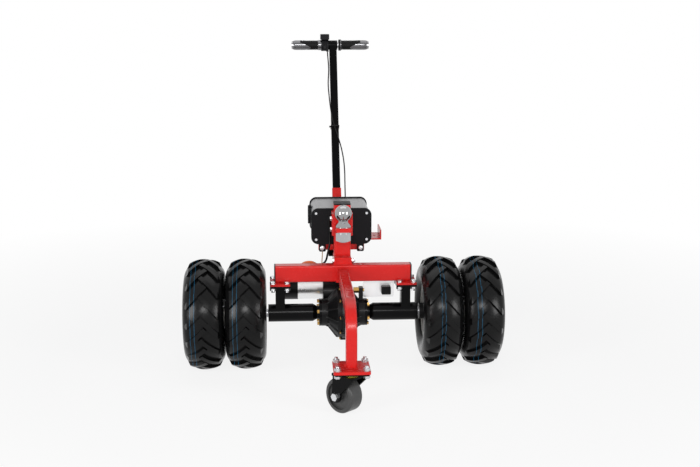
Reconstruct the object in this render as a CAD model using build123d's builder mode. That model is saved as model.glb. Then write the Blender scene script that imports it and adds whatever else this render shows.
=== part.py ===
from build123d import *

import os
from math import atan2, cos, hypot, pi, radians, sin, sqrt, tan

# Electric trailer dolly: a powered axle with twin tyres, a hitch ball on a post, a swivel
# caster in front and a raked handle with a twist throttle behind the battery case.
# Millimetres. The origin is on the floor under the middle of the drive axle, +X is to the
# right of someone who faces the caster, +Y runs back to the handle and +Z is up.

os.makedirs("parts", exist_ok=True)

# Tyres and rims
TYRE_DIA = 330.0
TYRE_WIDTH = 118.0
TYRE_WALL = 9.0
TYRE_GAP = 4.0
LUG_HEIGHT = 9.0
LUG_COUNT = 16
LUG_WIDTH = 13.0
LUG_LENGTH = 84.0
LUG_SLANT = 46.0
INNER_TYRE_X = 290.0
RIM_DIA = 152.0
RIM_FLANGE = 10.0
RIM_WIDTH = 88.0
RIM_WALL = 4.0
RIM_WELL = 14.0
RIM_DISC = 5.0
BEAD_GAP = 0.1

# Hubs and half shafts
SHAFT_DIA = 25.0
HUB_DIA = 48.0
HUB_FLANGE_DIA = 108.0
HUB_FLANGE = 10.0
HUB_LENGTH = 72.0
STUD_DIA = 12.0
STUD_PCD = 88.0
STUD_COUNT = 4
RIM_PILOT_DIA = 56.0
SPACER_DIA = 68.0
AXLE_NUT_AF = 36.0
AXLE_NUT = 10.0
HUB_CAP = 12.0
RUNNING_GAP = 0.05

# Axle tubes
TUBE_DIA = 53.0
TUBE_WALL = 6.0
TUBE_END_X = 224.0
NECK_DIA = 40.0
NECK_LENGTH = 7.0
NECK_TAPER = 12.0
TUBE_FLANGE = 8.0
FLANGE_BOLT_DIA = 6.0
FLANGE_BOLT_PCD = 70.0
FLANGE_BOLT_COUNT = 5
BEARING_WIDTH = 18.0

# Gear housing
HOUSING_DRUM_DIA = 152.0
HOUSING_DRUM_HALF = 18.0
HOUSING_END_DIA = 82.0
HOUSING_CONE_X = 46.0
HOUSING_END_X = 72.0
HOUSING_WALL = 6.0
TOWER_LEFT_X = -58.0
TOWER_RIGHT_X = 22.0
TOWER_ANGLE = 36.0
DIFF_BEARING_DIA = 52.0
DIFF_BEARING_WIDTH = 12.0

# Gears
RING_TEETH = 64
SMALL_TEETH = 16
RING_MODULE = 2.0
LARGE_TEETH = 48
PINION_TEETH = 12
PINION_MODULE = 1.25
GEAR_BACKLASH = 0.35
PRESSURE_ANGLE = 20.0
RING_WIDTH = 14.0
LARGE_WIDTH = 10.0
SIDE_TEETH = 16
SPIDER_TEETH = 12
BEVEL_MODULE = 2.5
DIFF_CASE_DIA = 76.0
DIFF_CASE_HALF = 27.0
DIFF_CASE_WALL = 6.0
SPIDER_PIN_DIA = 8.0
GEAR_SHAFT_DIA = 12.0

# Motor
MOTOR_DIA = 100.0
MOTOR_WALL = 5.0
MOTOR_LENGTH = 74.0
MOTOR_CAP_LENGTH = 48.0
MAGNET = 4.0
ROTOR_GAP = 1.0
COMMUTATOR_DIA = 32.0
COMMUTATOR_LENGTH = 24.0

# Cross beam and the saddles that carry it on the axle
BEAM_HEIGHT = 50.0
BEAM_DEPTH = 40.0
BEAM_HALF = 201.0
BEAM_BOTTOM_Z = 263.0
FRAME_WALL = 3.0
FRAME_RADIUS = 5.0
CAP_THICKNESS = 4.0
SADDLE_X = 188.0
SADDLE_WIDTH = 60.0
SADDLE_DEPTH = 92.0
SADDLE_PLATE = 6.0
SADDLE_POST_WIDTH = 28.0
SADDLE_POST_DEPTH = 40.0
SADDLE_BOLT_DIA = 10.0
SADDLE_BOLT_X = 42.0
SADDLE_BOLT_Y = 68.0

# Caster arm
ARM_WIDTH = 30.0
ARM_DEPTH = 40.0
ARM_WALL = 6.0
ARM_BEND = 70.0
ARM_REACH = 424.0
ARM_COLLAR = 7.0
ARM_COLLAR_DEPTH = 4.0

# Caster
CASTER_PLATE = 98.0
CASTER_PLATE_TOP_Z = 132.0
CASTER_PLATE_THICKNESS = 8.0
CASTER_TOP_PLATE = 92.0
CASTER_TOP_THICKNESS = 5.0
CASTER_BOLT_PITCH = 77.0
CASTER_BOLT_DIA = 10.0
CASTER_RACE_DIA = 58.0
CASTER_RACE_HEIGHT = 8.0
CASTER_RACE_GAP = 0.4
KINGPIN_DIA = 14.0
CASTER_WHEEL_DIA = 97.0
CASTER_WHEEL_WIDTH = 46.0
CASTER_TREAD = 11.0
CASTER_TRAIL = 27.0
CASTER_TURN = 43.0
FORK_WALL = 6.0
FORK_GAP = 3.0
FORK_LENGTH = 76.0
CASTER_AXLE_DIA = 12.0

# Hitch post, ball mount and ball
POST_SIZE = 50.0
POST_WALL = 4.0
POST_FRONT_Y = 20.0
POST_TOP_Z = 488.0
CHANNEL_WIDTH = 52.0
CHANNEL_HEIGHT = 21.0
CHANNEL_WALL = 6.0
CHANNEL_RADIUS = 4.0
CHANNEL_FRONT_Y = -11.0
CHANNEL_REAR = 2.0
CHANNEL_PIN_DIA = 8.0
CHANNEL_END = 6.0
MOUNT_WALL = 6.0
MOUNT_HEIGHT = 66.0
MOUNT_TOP_Z = 462.0
MOUNT_GAP = 0.3
SHELF_WIDTH = 45.0
SHELF_THICKNESS = 12.0
SHELF_TOP_Z = 432.0
SHELF_NOSE = 27.0
BALL_DIA = 50.8
BALL_Y = -30.0
BALL_RISE = 40.0
BALL_NECK_DIA = 28.0
BALL_FLANGE_DIA = 45.0
BALL_FLANGE = 7.0
BALL_SHANK_DIA = 25.0
BALL_NUT_AF = 38.0
BALL_NUT = 24.0
BALL_WASHER = 6.0
MOUNT_BOLT_DIA = 8.0

# Rear spine, battery tray and battery case
SPINE_WIDTH = 40.0
SPINE_HEIGHT = 40.0
SPINE_WALL = 2.0
SPINE_REAR_Y = 322.0
RISER_WIDTH = 60.0
RISER_DEPTH = 40.0
RISER_X = -8.0
RISER_Y = 128.0
TRAY_WIDTH = 140.0
TRAY_THICKNESS = 3.0
TRAY_LIP = 20.0
CASE_WIDTH = 176.0
CASE_HEIGHT = 103.0
CASE_LENGTH = 194.0
CASE_WALL = 3.0
CASE_RADIUS = 18.0
COVER_OVERHANG = 4.0
COVER_THICKNESS = 8.0
CASE_FRONT_Y = 86.0
CASE_BOTTOM_Z = 361.0
EAR_WIDTH = 21.0
EAR_DROP = 23.0
EAR_X = 58.0
EAR_BOLT_DIA = 8.0
COVER_SCREW_DIA = 5.0
COVER_SCREW_INSET = 15.0
CELL_DIA = 26.0
CELL_LENGTH = 70.0
CELL_ROWS = 3
CELL_COLUMNS = 5
CELL_GAP = 0.6
CONTROLLER_LENGTH = 76.0
CONTROLLER_HEIGHT = 40.0
PORT_DIA = 54.0
PORT_FLANGE = 4.0
PORT_CAP = 7.0
PORT_HINGE_DIA = 6.0
PORT_HINGE_WIDTH = 18.0
PORT_BARREL = 10.0
PORT_PIN_DIA = 2.4
PORT_GAP = 0.3
PORT_Y = 195.0
PORT_Z = 427.0
BRACKET_WIDTH = 36.0
BRACKET_LENGTH = 95.0
BRACKET_HEIGHT = 30.0
BRACKET_SHEET = 4.0
BRACKET_Y = 148.0
BRACKET_Z = 365.0
BRACKET_HOLE_DIA = 9.0

# Handle
RAKE = 28.0
STEM_SIZE = 25.0
STEM_WALL = 2.0
STEM_GAP = 0.2
SOCKET_WALL = 2.0
SOCKET_TOP_Z = 476.0
SOCKET_Y = 300.0
BAR_Z = 936.0
BAR_DIA = 22.0
BAR_WALL = 1.5
BAR_LEFT = 136.0
BAR_RIGHT = 118.0
HEAD_WIDTH = 30.0
HEAD_WALL = 5.0
GRIP_DIA = 32.0
GRIP_FLANGE_DIA = 38.0
GRIP_TIP = 24.0
GRIP_TIP_WALL = 5.0
THROTTLE_INNER_X = -15.0
THROTTLE_WIDTH = 25.0
THROTTLE_DIA = 40.0
COLLAR_WIDTH = 10.0
GAUGE_WIDTH = 30.0
GAUGE_DEPTH = 34.0
GAUGE_HEIGHT = 18.0
SWITCH_WIDTH = 10.0
SWITCH_LENGTH = 20.0
SWITCH_PIN_DIA = 2.4
SWITCH_PIN = 1.5

# Cables
THROTTLE_CABLE_DIA = 4.0
HARNESS_DIA = 6.0
LEAD_DIA = 7.8
EARTH_WIRE_DIA = 3.0
LEAD_PLATE = 2.0
LEAD_PLATE_LEFT_X = 62.0
LEAD_PLATE_RIGHT_X = 156.0
LEAD_PLATE_DROP = 58.0
PLUG_WIDTH = 28.0
PLUG_HEIGHT = 24.0
PLUG_DEPTH = 22.0
PLUG_X = 131.0
PLUG_Z = 229.0

# Hexagon proportions of bolts and nuts, as shares of the thread diameter
HEX_AF = 1.6
HEAD_SHARE = 0.65
NUT_SHARE = 0.85
HOLE_GAP = 0.5

# Places worked out from the sizes above
AXLE_Z = TYRE_DIA / 2
AXLE = Axis((0, 0, AXLE_Z), (1, 0, 0))
OUTER_TYRE_X = INNER_TYRE_X + TYRE_WIDTH + TYRE_GAP
BEAM_TOP_Z = BEAM_BOTTOM_Z + BEAM_HEIGHT
BEAM_FRONT_Y = -BEAM_DEPTH / 2
BEAM_REAR_Y = BEAM_DEPTH / 2
POST_REAR_Y = POST_FRONT_Y + POST_SIZE
POST_Y = POST_FRONT_Y + POST_SIZE / 2
POST_BOTTOM_Z = BEAM_TOP_Z + CHANNEL_HEIGHT
CASE_TOP_Z = CASE_BOTTOM_Z + CASE_HEIGHT
CASE_Z = CASE_BOTTOM_Z + CASE_HEIGHT / 2
CASE_REAR_Y = CASE_FRONT_Y + CASE_LENGTH
COVER_FRONT_Y = CASE_FRONT_Y - COVER_THICKNESS
COVER_REAR_Y = CASE_REAR_Y + COVER_THICKNESS
COVER_BOTTOM_Z = CASE_BOTTOM_Z - COVER_OVERHANG
TRAY_BOTTOM_Z = CASE_BOTTOM_Z - TRAY_THICKNESS
RING_CENTRES = RING_MODULE * (RING_TEETH + SMALL_TEETH) / 2
PINION_CENTRES = PINION_MODULE * (LARGE_TEETH + PINION_TEETH) / 2
TOWER = (cos(radians(TOWER_ANGLE)), sin(radians(TOWER_ANGLE)))
CLUSTER_YZ = (RING_CENTRES * TOWER[0], AXLE_Z + RING_CENTRES * TOWER[1])
MOTOR_REACH = RING_CENTRES + PINION_CENTRES
MOTOR_YZ = (MOTOR_REACH * TOWER[0], AXLE_Z + MOTOR_REACH * TOWER[1])
MOTOR_FRONT_X = TOWER_LEFT_X
MOTOR_REAR_X = MOTOR_FRONT_X - MOTOR_LENGTH
MOTOR_END_X = MOTOR_REAR_X - MOTOR_CAP_LENGTH
STEM_DIRECTION = (0, sin(radians(RAKE)), cos(radians(RAKE)))
STEM_FOOT = (0, SOCKET_Y, BEAM_TOP_Z)
STEM_LENGTH = (BAR_Z - BEAM_TOP_Z) / cos(radians(RAKE))
STEM_PLANE = Plane(origin=STEM_FOOT, x_dir=(1, 0, 0), z_dir=STEM_DIRECTION)
BAR_Y = SOCKET_Y + STEM_LENGTH * sin(radians(RAKE))
CASTER_TOP_Z = CASTER_PLATE_TOP_Z - CASTER_PLATE_THICKNESS


def yz(x):
    """Plane square to the axle, with local axes Y and Z."""
    return Plane.YZ.offset(x)


def xz(y):
    """Upright plane across the dolly, with local axes X and Z and its normal to the front."""
    return Plane.XZ.offset(-y)


def xy(z):
    """Level plane at one height."""
    return Plane.XY.offset(z)


def write(piece, node):
    """Label a finished piece and write it to its own file."""
    piece.part.label = node
    export_step(piece.part, f"parts/{node}.step")


def hexagon(diameter):
    """Hexagon for a bolt head or a nut of one thread size."""
    RegularPolygon(diameter * HEX_AF / 2, 6, major_radius=False)


def gear_outline(teeth, module, phase):
    """Corner points of a spur gear with straight-flanked teeth, tooth 0 at the phase angle."""
    pitch = teeth * module / 2
    addendum = module
    dedendum = 1.25 * module
    half = radians(90 / teeth) - GEAR_BACKLASH / (2 * pitch)
    lean = tan(radians(PRESSURE_ANGLE)) / pitch
    corners = []
    for tooth in range(teeth):
        middle = radians(phase) + 2 * pi * tooth / teeth
        root = half + dedendum * lean
        tip = half - addendum * lean
        for radius, angle in (
            (pitch - dedendum, -root),
            (pitch + addendum, -tip),
            (pitch + addendum, tip),
            (pitch - dedendum, root),
        ):
            corners.append((radius * cos(middle + angle), radius * sin(middle + angle)))
    return corners


def bevel_outline(teeth, mate_teeth, share, phase):
    """Corner points of a bevel gear's section, at a share of the way from the cone's tip."""
    pitch = teeth * BEVEL_MODULE / 2
    mate = mate_teeth * BEVEL_MODULE / 2
    cone = atan2(pitch, mate)
    slant = hypot(pitch, mate)
    tip_radius = share * mate * tan(cone + 0.8 * BEVEL_MODULE / slant)
    root_radius = share * mate * tan(cone - 1.1 * BEVEL_MODULE / slant)
    corners = []
    for tooth in range(teeth):
        middle = radians(phase) + 2 * pi * tooth / teeth
        root = 0.62 * pi / teeth
        tip = 0.24 * pi / teeth
        for radius, angle in (
            (root_radius, -root),
            (tip_radius, -tip),
            (tip_radius, tip),
            (root_radius, root),
        ):
            corners.append((radius * cos(middle + angle), radius * sin(middle + angle)))
    return corners


def cable_path(points):
    """Radii for a cable's corners, as large as the runs beside each corner allow."""
    radii = []
    for before, here, after in zip(points, points[1:], points[2:]):
        run_in = Vector(*here) - Vector(*before)
        run_out = Vector(*after) - Vector(*here)
        turn = radians(run_in.get_angle(run_out))
        radii.append(0.45 * min(run_in.length, run_out.length) / tan(turn / 2))
    return radii


def cable(points, diameter, node):
    """One cable of round section along straight runs joined by tangent arcs."""
    radii = cable_path(points)
    with BuildPart() as piece:
        with BuildLine() as route:
            FilletPolyline(*points, radius=radii)
        with BuildSketch(Plane(origin=route.line @ 0, z_dir=route.line % 0)):
            Circle(diameter / 2)
        sweep()
    length = route.wire().length
    print(node, "radii", [round(radius, 1) for radius in radii])
    print(node, "volume", round(piece.part.volume), "expected", round(pi * diameter**2 / 4 * length))
    write(piece, node)


# Tyre: a hollow carcass with two staggered rows of slanted lugs that meet as an arrow head
CROWN_R = TYRE_DIA / 2 - LUG_HEIGHT
HALF_TYRE = TYRE_WIDTH / 2
SEAT_R = RIM_DIA / 2 + BEAD_GAP
FLANGE_R = RIM_DIA / 2 + RIM_FLANGE
FLANGE_X = RIM_WIDTH / 2 - RIM_WALL
SHOULDER_X = HALF_TYRE - 15
SHOULDER_R = CROWN_R - 11
BELLY_R = (CROWN_R + FLANGE_R) / 2 - 6
LUG_END_X = HALF_TYRE - 5
LUG_END_R = SHOULDER_R - 12


def at_axle(x, radius):
    """A point of a wheel's section, from its mid-plane offset and its radius."""
    return (x, AXLE_Z + radius)


with BuildPart() as carcass:
    with BuildSketch(Plane.XZ):
        with BuildLine():
            ThreePointArc(
                at_axle(-SHOULDER_X, SHOULDER_R), at_axle(0, CROWN_R), at_axle(SHOULDER_X, SHOULDER_R)
            )
            ThreePointArc(
                at_axle(SHOULDER_X, SHOULDER_R),
                at_axle(HALF_TYRE, BELLY_R),
                at_axle(FLANGE_X + 5, FLANGE_R + 4),
            )
            Polyline(
                at_axle(FLANGE_X + 5, FLANGE_R + 4),
                at_axle(FLANGE_X - BEAD_GAP, FLANGE_R + 1),
                at_axle(FLANGE_X - BEAD_GAP, SEAT_R),
                at_axle(FLANGE_X - TYRE_WALL - 2, SEAT_R),
                at_axle(FLANGE_X - TYRE_WALL, FLANGE_R + 4),
            )
            ThreePointArc(
                at_axle(FLANGE_X - TYRE_WALL, FLANGE_R + 4),
                at_axle(HALF_TYRE - TYRE_WALL, BELLY_R),
                at_axle(SHOULDER_X - TYRE_WALL / 2, SHOULDER_R - TYRE_WALL),
            )
            Line(at_axle(SHOULDER_X - TYRE_WALL / 2, SHOULDER_R - TYRE_WALL), at_axle(0, CROWN_R - TYRE_WALL))
            mirror(about=Plane.YZ)
        make_face()
    revolve(axis=AXLE)

with BuildPart() as lug_ring:
    with BuildSketch(Plane.XZ):
        with BuildLine():
            ThreePointArc(
                at_axle(-SHOULDER_X, SHOULDER_R + LUG_HEIGHT),
                at_axle(0, TYRE_DIA / 2),
                at_axle(SHOULDER_X, SHOULDER_R + LUG_HEIGHT),
            )
            Polyline(
                at_axle(SHOULDER_X, SHOULDER_R + LUG_HEIGHT),
                at_axle(LUG_END_X, LUG_END_R),
                at_axle(LUG_END_X - TYRE_WALL / 2, LUG_END_R),
                at_axle(SHOULDER_X - 2, SHOULDER_R - TYRE_WALL / 2),
                at_axle(0, CROWN_R - TYRE_WALL / 2),
                at_axle(2 - SHOULDER_X, SHOULDER_R - TYRE_WALL / 2),
                at_axle(TYRE_WALL / 2 - LUG_END_X, LUG_END_R),
                at_axle(-LUG_END_X, LUG_END_R),
                at_axle(-SHOULDER_X, SHOULDER_R + LUG_HEIGHT),
            )
        make_face()
    revolve(axis=AXLE)

with BuildPart() as lug:
    with BuildSketch(xy(AXLE_Z + TYRE_DIA / 2 - 4 * LUG_HEIGHT)):
        with Locations(Location((LUG_LENGTH * 0.35 - 8, 0), -LUG_SLANT)):
            Rectangle(LUG_LENGTH, LUG_WIDTH)
    extrude(amount=5 * LUG_HEIGHT)
    add(lug_ring.part, mode=Mode.INTERSECT)

LUG_STEP = 360 / LUG_COUNT
lug_row = [lug.part.rotate(AXLE, LUG_STEP * step) for step in range(LUG_COUNT)]
far_row = [piece.mirror(Plane.YZ).rotate(AXLE, LUG_STEP / 2) for piece in lug_row]
with BuildPart() as tyre:
    add(carcass.part)
    add([piece.solid() for piece in lug_row + far_row])

# Rim: a drop-centre band with a flat disc, two of them welded on one spacer tube per side
with BuildPart() as rim:
    with BuildSketch(Plane.XZ):
        with BuildLine():
            Polyline(
                at_axle(0, RIM_DIA / 2 - RIM_WELL),
                at_axle(FLANGE_X - TYRE_WALL - 7, RIM_DIA / 2 - RIM_WELL),
                at_axle(FLANGE_X - TYRE_WALL - 3, RIM_DIA / 2),
                at_axle(FLANGE_X, RIM_DIA / 2),
                at_axle(FLANGE_X, FLANGE_R),
                at_axle(FLANGE_X + RIM_WALL, FLANGE_R),
                at_axle(FLANGE_X + RIM_WALL, RIM_DIA / 2 - RIM_WALL),
                at_axle(FLANGE_X - TYRE_WALL, RIM_DIA / 2 - RIM_WALL),
                at_axle(FLANGE_X - TYRE_WALL - 4, RIM_DIA / 2 - RIM_WELL - RIM_WALL),
                at_axle(0, RIM_DIA / 2 - RIM_WELL - RIM_WALL),
            )
            mirror(about=Plane.YZ)
        make_face()
    revolve(axis=AXLE)
    with BuildSketch(yz(0)):
        with Locations((0, AXLE_Z)):
            Circle(RIM_DIA / 2 - RIM_WELL - RIM_WALL / 2)
            Circle(RIM_PILOT_DIA / 2, mode=Mode.SUBTRACT)
            with PolarLocations(STUD_PCD / 2, STUD_COUNT, start_angle=45):
                Circle((STUD_DIA + HOLE_GAP) / 2, mode=Mode.SUBTRACT)
    extrude(amount=RIM_DISC)

# Wheels of one side: two tyres, their twin rim, the hub, its studs and the half shaft
HUB_FACE_X = INNER_TYRE_X
SPACER_START_X = INNER_TYRE_X + RIM_DISC
OUTER_FACE_X = OUTER_TYRE_X + RIM_DISC
HUB_INNER_X = HUB_FACE_X + 12 - HUB_LENGTH
SHAFT_END_X = HUB_FACE_X + 22
DIFF_BEVEL_X = SPIDER_TEETH * BEVEL_MODULE / 2
SPIDER_REACH = SIDE_TEETH * BEVEL_MODULE / 2
BEVEL_FACE = 0.65

for side, word in ((-1, "left"), (1, "right")):
    flip = Plane.YZ if side < 0 else None

    with BuildPart() as tyres:
        with Locations((side * INNER_TYRE_X, 0, 0), (side * OUTER_TYRE_X, 0, 0)):
            add(tyre.part.solid())
    write(tyres, f"{word}_tyres")

    with BuildPart() as rims:
        with Locations((INNER_TYRE_X, 0, 0), (OUTER_TYRE_X, 0, 0)):
            add(rim.part.solid())
        with BuildSketch(yz(SPACER_START_X)):
            with Locations((0, AXLE_Z)):
                Circle(SPACER_DIA / 2)
                Circle(RIM_PILOT_DIA / 2, mode=Mode.SUBTRACT)
        extrude(amount=OUTER_TYRE_X - SPACER_START_X)
        with BuildSketch(yz(OUTER_TYRE_X)):
            with Locations((0, AXLE_Z)):
                Circle(RIM_PILOT_DIA / 2)
        extrude(amount=RIM_DISC)
        with BuildSketch(yz(OUTER_FACE_X)):
            with Locations((0, AXLE_Z)):
                Circle(RIM_PILOT_DIA / 2)
        extrude(amount=HUB_CAP, taper=15)
        if flip:
            mirror(about=flip, mode=Mode.REPLACE)
    write(rims, f"{word}_rims")

    with BuildPart() as hub:
        with BuildSketch(yz(HUB_INNER_X)):
            with Locations((0, AXLE_Z)):
                Circle(HUB_DIA / 2)
        extrude(amount=HUB_LENGTH)
        with BuildSketch(yz(HUB_FACE_X)):
            with Locations((0, AXLE_Z)):
                Circle(HUB_FLANGE_DIA / 2)
        extrude(amount=-HUB_FLANGE)
        with BuildSketch(yz(HUB_INNER_X)):
            with Locations((0, AXLE_Z)):
                Circle(SHAFT_DIA / 2 + RUNNING_GAP)
        extrude(amount=HUB_LENGTH, mode=Mode.SUBTRACT)
        with BuildSketch(yz(HUB_FACE_X)):
            with Locations((0, AXLE_Z)):
                with PolarLocations(STUD_PCD / 2, STUD_COUNT, start_angle=45):
                    Circle(STUD_DIA / 2 + RUNNING_GAP)
        extrude(amount=-HUB_FLANGE, mode=Mode.SUBTRACT)
        if flip:
            mirror(about=flip, mode=Mode.REPLACE)
    write(hub, f"{word}_hub")

    with BuildPart() as studs:
        with BuildSketch(yz(HUB_FACE_X - HUB_FLANGE - STUD_DIA * HEAD_SHARE)):
            with Locations((0, AXLE_Z)):
                with PolarLocations(STUD_PCD / 2, STUD_COUNT, start_angle=45):
                    hexagon(STUD_DIA)
        extrude(amount=STUD_DIA * HEAD_SHARE)
        with BuildSketch(yz(HUB_FACE_X - HUB_FLANGE)):
            with Locations((0, AXLE_Z)):
                with PolarLocations(STUD_PCD / 2, STUD_COUNT, start_angle=45):
                    Circle(STUD_DIA / 2)
        extrude(amount=OUTER_FACE_X + 1.2 * STUD_DIA - HUB_FACE_X + HUB_FLANGE)
        with BuildSketch(yz(OUTER_FACE_X)):
            with Locations((0, AXLE_Z)):
                with PolarLocations(STUD_PCD / 2, STUD_COUNT, start_angle=45):
                    hexagon(STUD_DIA)
                    Circle(STUD_DIA / 2 + RUNNING_GAP, mode=Mode.SUBTRACT)
        extrude(amount=STUD_DIA * NUT_SHARE)
        with BuildSketch(yz(HUB_INNER_X + HUB_LENGTH)):
            with Locations((0, AXLE_Z)):
                RegularPolygon(AXLE_NUT_AF / 2, 6, major_radius=False)
                Circle(SHAFT_DIA / 2 + RUNNING_GAP, mode=Mode.SUBTRACT)
        extrude(amount=AXLE_NUT)
        if flip:
            mirror(about=flip, mode=Mode.REPLACE)
    write(studs, f"{word}_wheel_studs")

    with BuildPart() as half_shaft:
        with BuildSketch(yz(DIFF_BEVEL_X)):
            with Locations((0, AXLE_Z)):
                Polygon(*bevel_outline(SIDE_TEETH, SPIDER_TEETH, 1, 0), align=None)
        with BuildSketch(yz(DIFF_BEVEL_X * BEVEL_FACE)):
            with Locations((0, AXLE_Z)):
                Polygon(*bevel_outline(SIDE_TEETH, SPIDER_TEETH, BEVEL_FACE, 0), align=None)
        loft(ruled=True)
        with BuildSketch(yz(DIFF_BEVEL_X)):
            with Locations((0, AXLE_Z)):
                Circle(SHAFT_DIA / 2)
        extrude(amount=SHAFT_END_X - DIFF_BEVEL_X)
        if flip:
            mirror(about=flip, mode=Mode.REPLACE)
    write(half_shaft, f"{word}_half_shaft")

# Axle tubes, swaged down to the bolted flange beside the gear housing
with BuildPart() as axle_tubes:
    with BuildSketch(Plane.XZ):
        with BuildLine():
            Polyline(
                at_axle(HOUSING_END_X - TUBE_FLANGE, SHAFT_DIA / 2 + 2),
                at_axle(HOUSING_END_X - TUBE_FLANGE, HOUSING_END_DIA / 2),
                at_axle(HOUSING_END_X, HOUSING_END_DIA / 2),
                at_axle(HOUSING_END_X, NECK_DIA / 2),
                at_axle(HOUSING_END_X + NECK_LENGTH, NECK_DIA / 2),
                at_axle(HOUSING_END_X + NECK_LENGTH + NECK_TAPER, TUBE_DIA / 2),
                at_axle(TUBE_END_X, TUBE_DIA / 2),
                at_axle(TUBE_END_X, TUBE_DIA / 2 - TUBE_WALL),
                at_axle(HOUSING_END_X + NECK_LENGTH + NECK_TAPER, TUBE_DIA / 2 - TUBE_WALL),
                at_axle(HOUSING_END_X + NECK_LENGTH, SHAFT_DIA / 2 + 2),
                close=True,
            )
        make_face()
    revolve(axis=AXLE)
    mirror(about=Plane.YZ)
    for side, start in ((-1, 90), (1, -90)):
        with BuildSketch(yz(side * HOUSING_END_X)):
            with Locations((0, AXLE_Z)):
                with PolarLocations(FLANGE_BOLT_PCD / 2, FLANGE_BOLT_COUNT, start_angle=start):
                    Circle((FLANGE_BOLT_DIA + HOLE_GAP) / 2)
        extrude(amount=-side * TUBE_FLANGE, mode=Mode.SUBTRACT)
write(axle_tubes, "axle_tubes")

# Sealed wheel bearings at the tube ends and bearings on both sides of the differential
with BuildPart() as axle_bearings:
    for end_x in (TUBE_END_X, HOUSING_CONE_X):
        outer = TUBE_DIA / 2 - TUBE_WALL if end_x > HOUSING_CONE_X else DIFF_BEARING_DIA / 2
        inner = SHAFT_DIA / 2 if end_x > HOUSING_CONE_X else SHAFT_DIA / 2 + DIFF_CASE_WALL
        length = BEARING_WIDTH if end_x > HOUSING_CONE_X else DIFF_BEARING_WIDTH
        with BuildSketch(yz(end_x)):
            with Locations((0, AXLE_Z)):
                Circle(outer)
                Circle(inner + RUNNING_GAP, mode=Mode.SUBTRACT)
        extrude(amount=-length)
    mirror(about=Plane.YZ)
write(axle_bearings, "axle_bearings")

# Gear housing: a drum round the ring gear with coned ends, and a tower back to the motor
CLUSTER_TOWER_R = PINION_MODULE * (LARGE_TEETH + 2) / 2 + 4 + HOUSING_WALL
MOTOR_TOWER_R = MOTOR_DIA / 2 - 16
LUG_X = 54.0
LUG_SIZE = 26.0
LUG_TOP = 76.0


def drum_section(shrink):
    """Half section of the drum, its cones and its ends, drawn in by a wall thickness."""
    drum = HOUSING_DRUM_DIA / 2 - shrink
    end = HOUSING_END_DIA / 2 - shrink
    half = HOUSING_DRUM_HALF - shrink * 0.4
    reach = HOUSING_CONE_X - shrink * 0.4
    last = HOUSING_END_X - TUBE_FLANGE if shrink == 0 else reach + 0.5
    Polygon(
        at_axle(0, 0),
        at_axle(0, drum),
        at_axle(half, drum),
        at_axle(reach, end),
        at_axle(last, end),
        at_axle(last, 0),
        align=None,
    )


def tower_section(shrink):
    """Outline of the tower, from the drum past the cluster gear to the motor shaft."""
    with BuildSketch(mode=Mode.PRIVATE) as discs:
        with Locations((CLUSTER_YZ[0], CLUSTER_YZ[1])):
            Circle(CLUSTER_TOWER_R - shrink)
        with Locations((MOTOR_YZ[0], MOTOR_YZ[1])):
            Circle(MOTOR_TOWER_R - shrink)
    make_hull(discs.edges())


with BuildPart() as housing_body:
    with BuildSketch(Plane.XZ):
        drum_section(0)
    revolve(axis=AXLE)
    mirror(about=Plane.YZ)
    with BuildSketch(yz(TOWER_LEFT_X)):
        tower_section(0)
    extrude(amount=TOWER_RIGHT_X - TOWER_LEFT_X)
    with BuildSketch(yz(LUG_X - 6)):
        with Locations((0, AXLE_Z + LUG_TOP / 2)):
            Rectangle(LUG_SIZE, LUG_TOP)
    extrude(amount=12)

with BuildPart() as housing_cavity:
    with BuildSketch(Plane.XZ):
        drum_section(HOUSING_WALL)
    revolve(axis=AXLE)
    mirror(about=Plane.YZ)
    with BuildSketch(yz(TOWER_LEFT_X + HOUSING_WALL)):
        tower_section(HOUSING_WALL)
    extrude(amount=TOWER_RIGHT_X - TOWER_LEFT_X - 2 * HOUSING_WALL)

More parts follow.
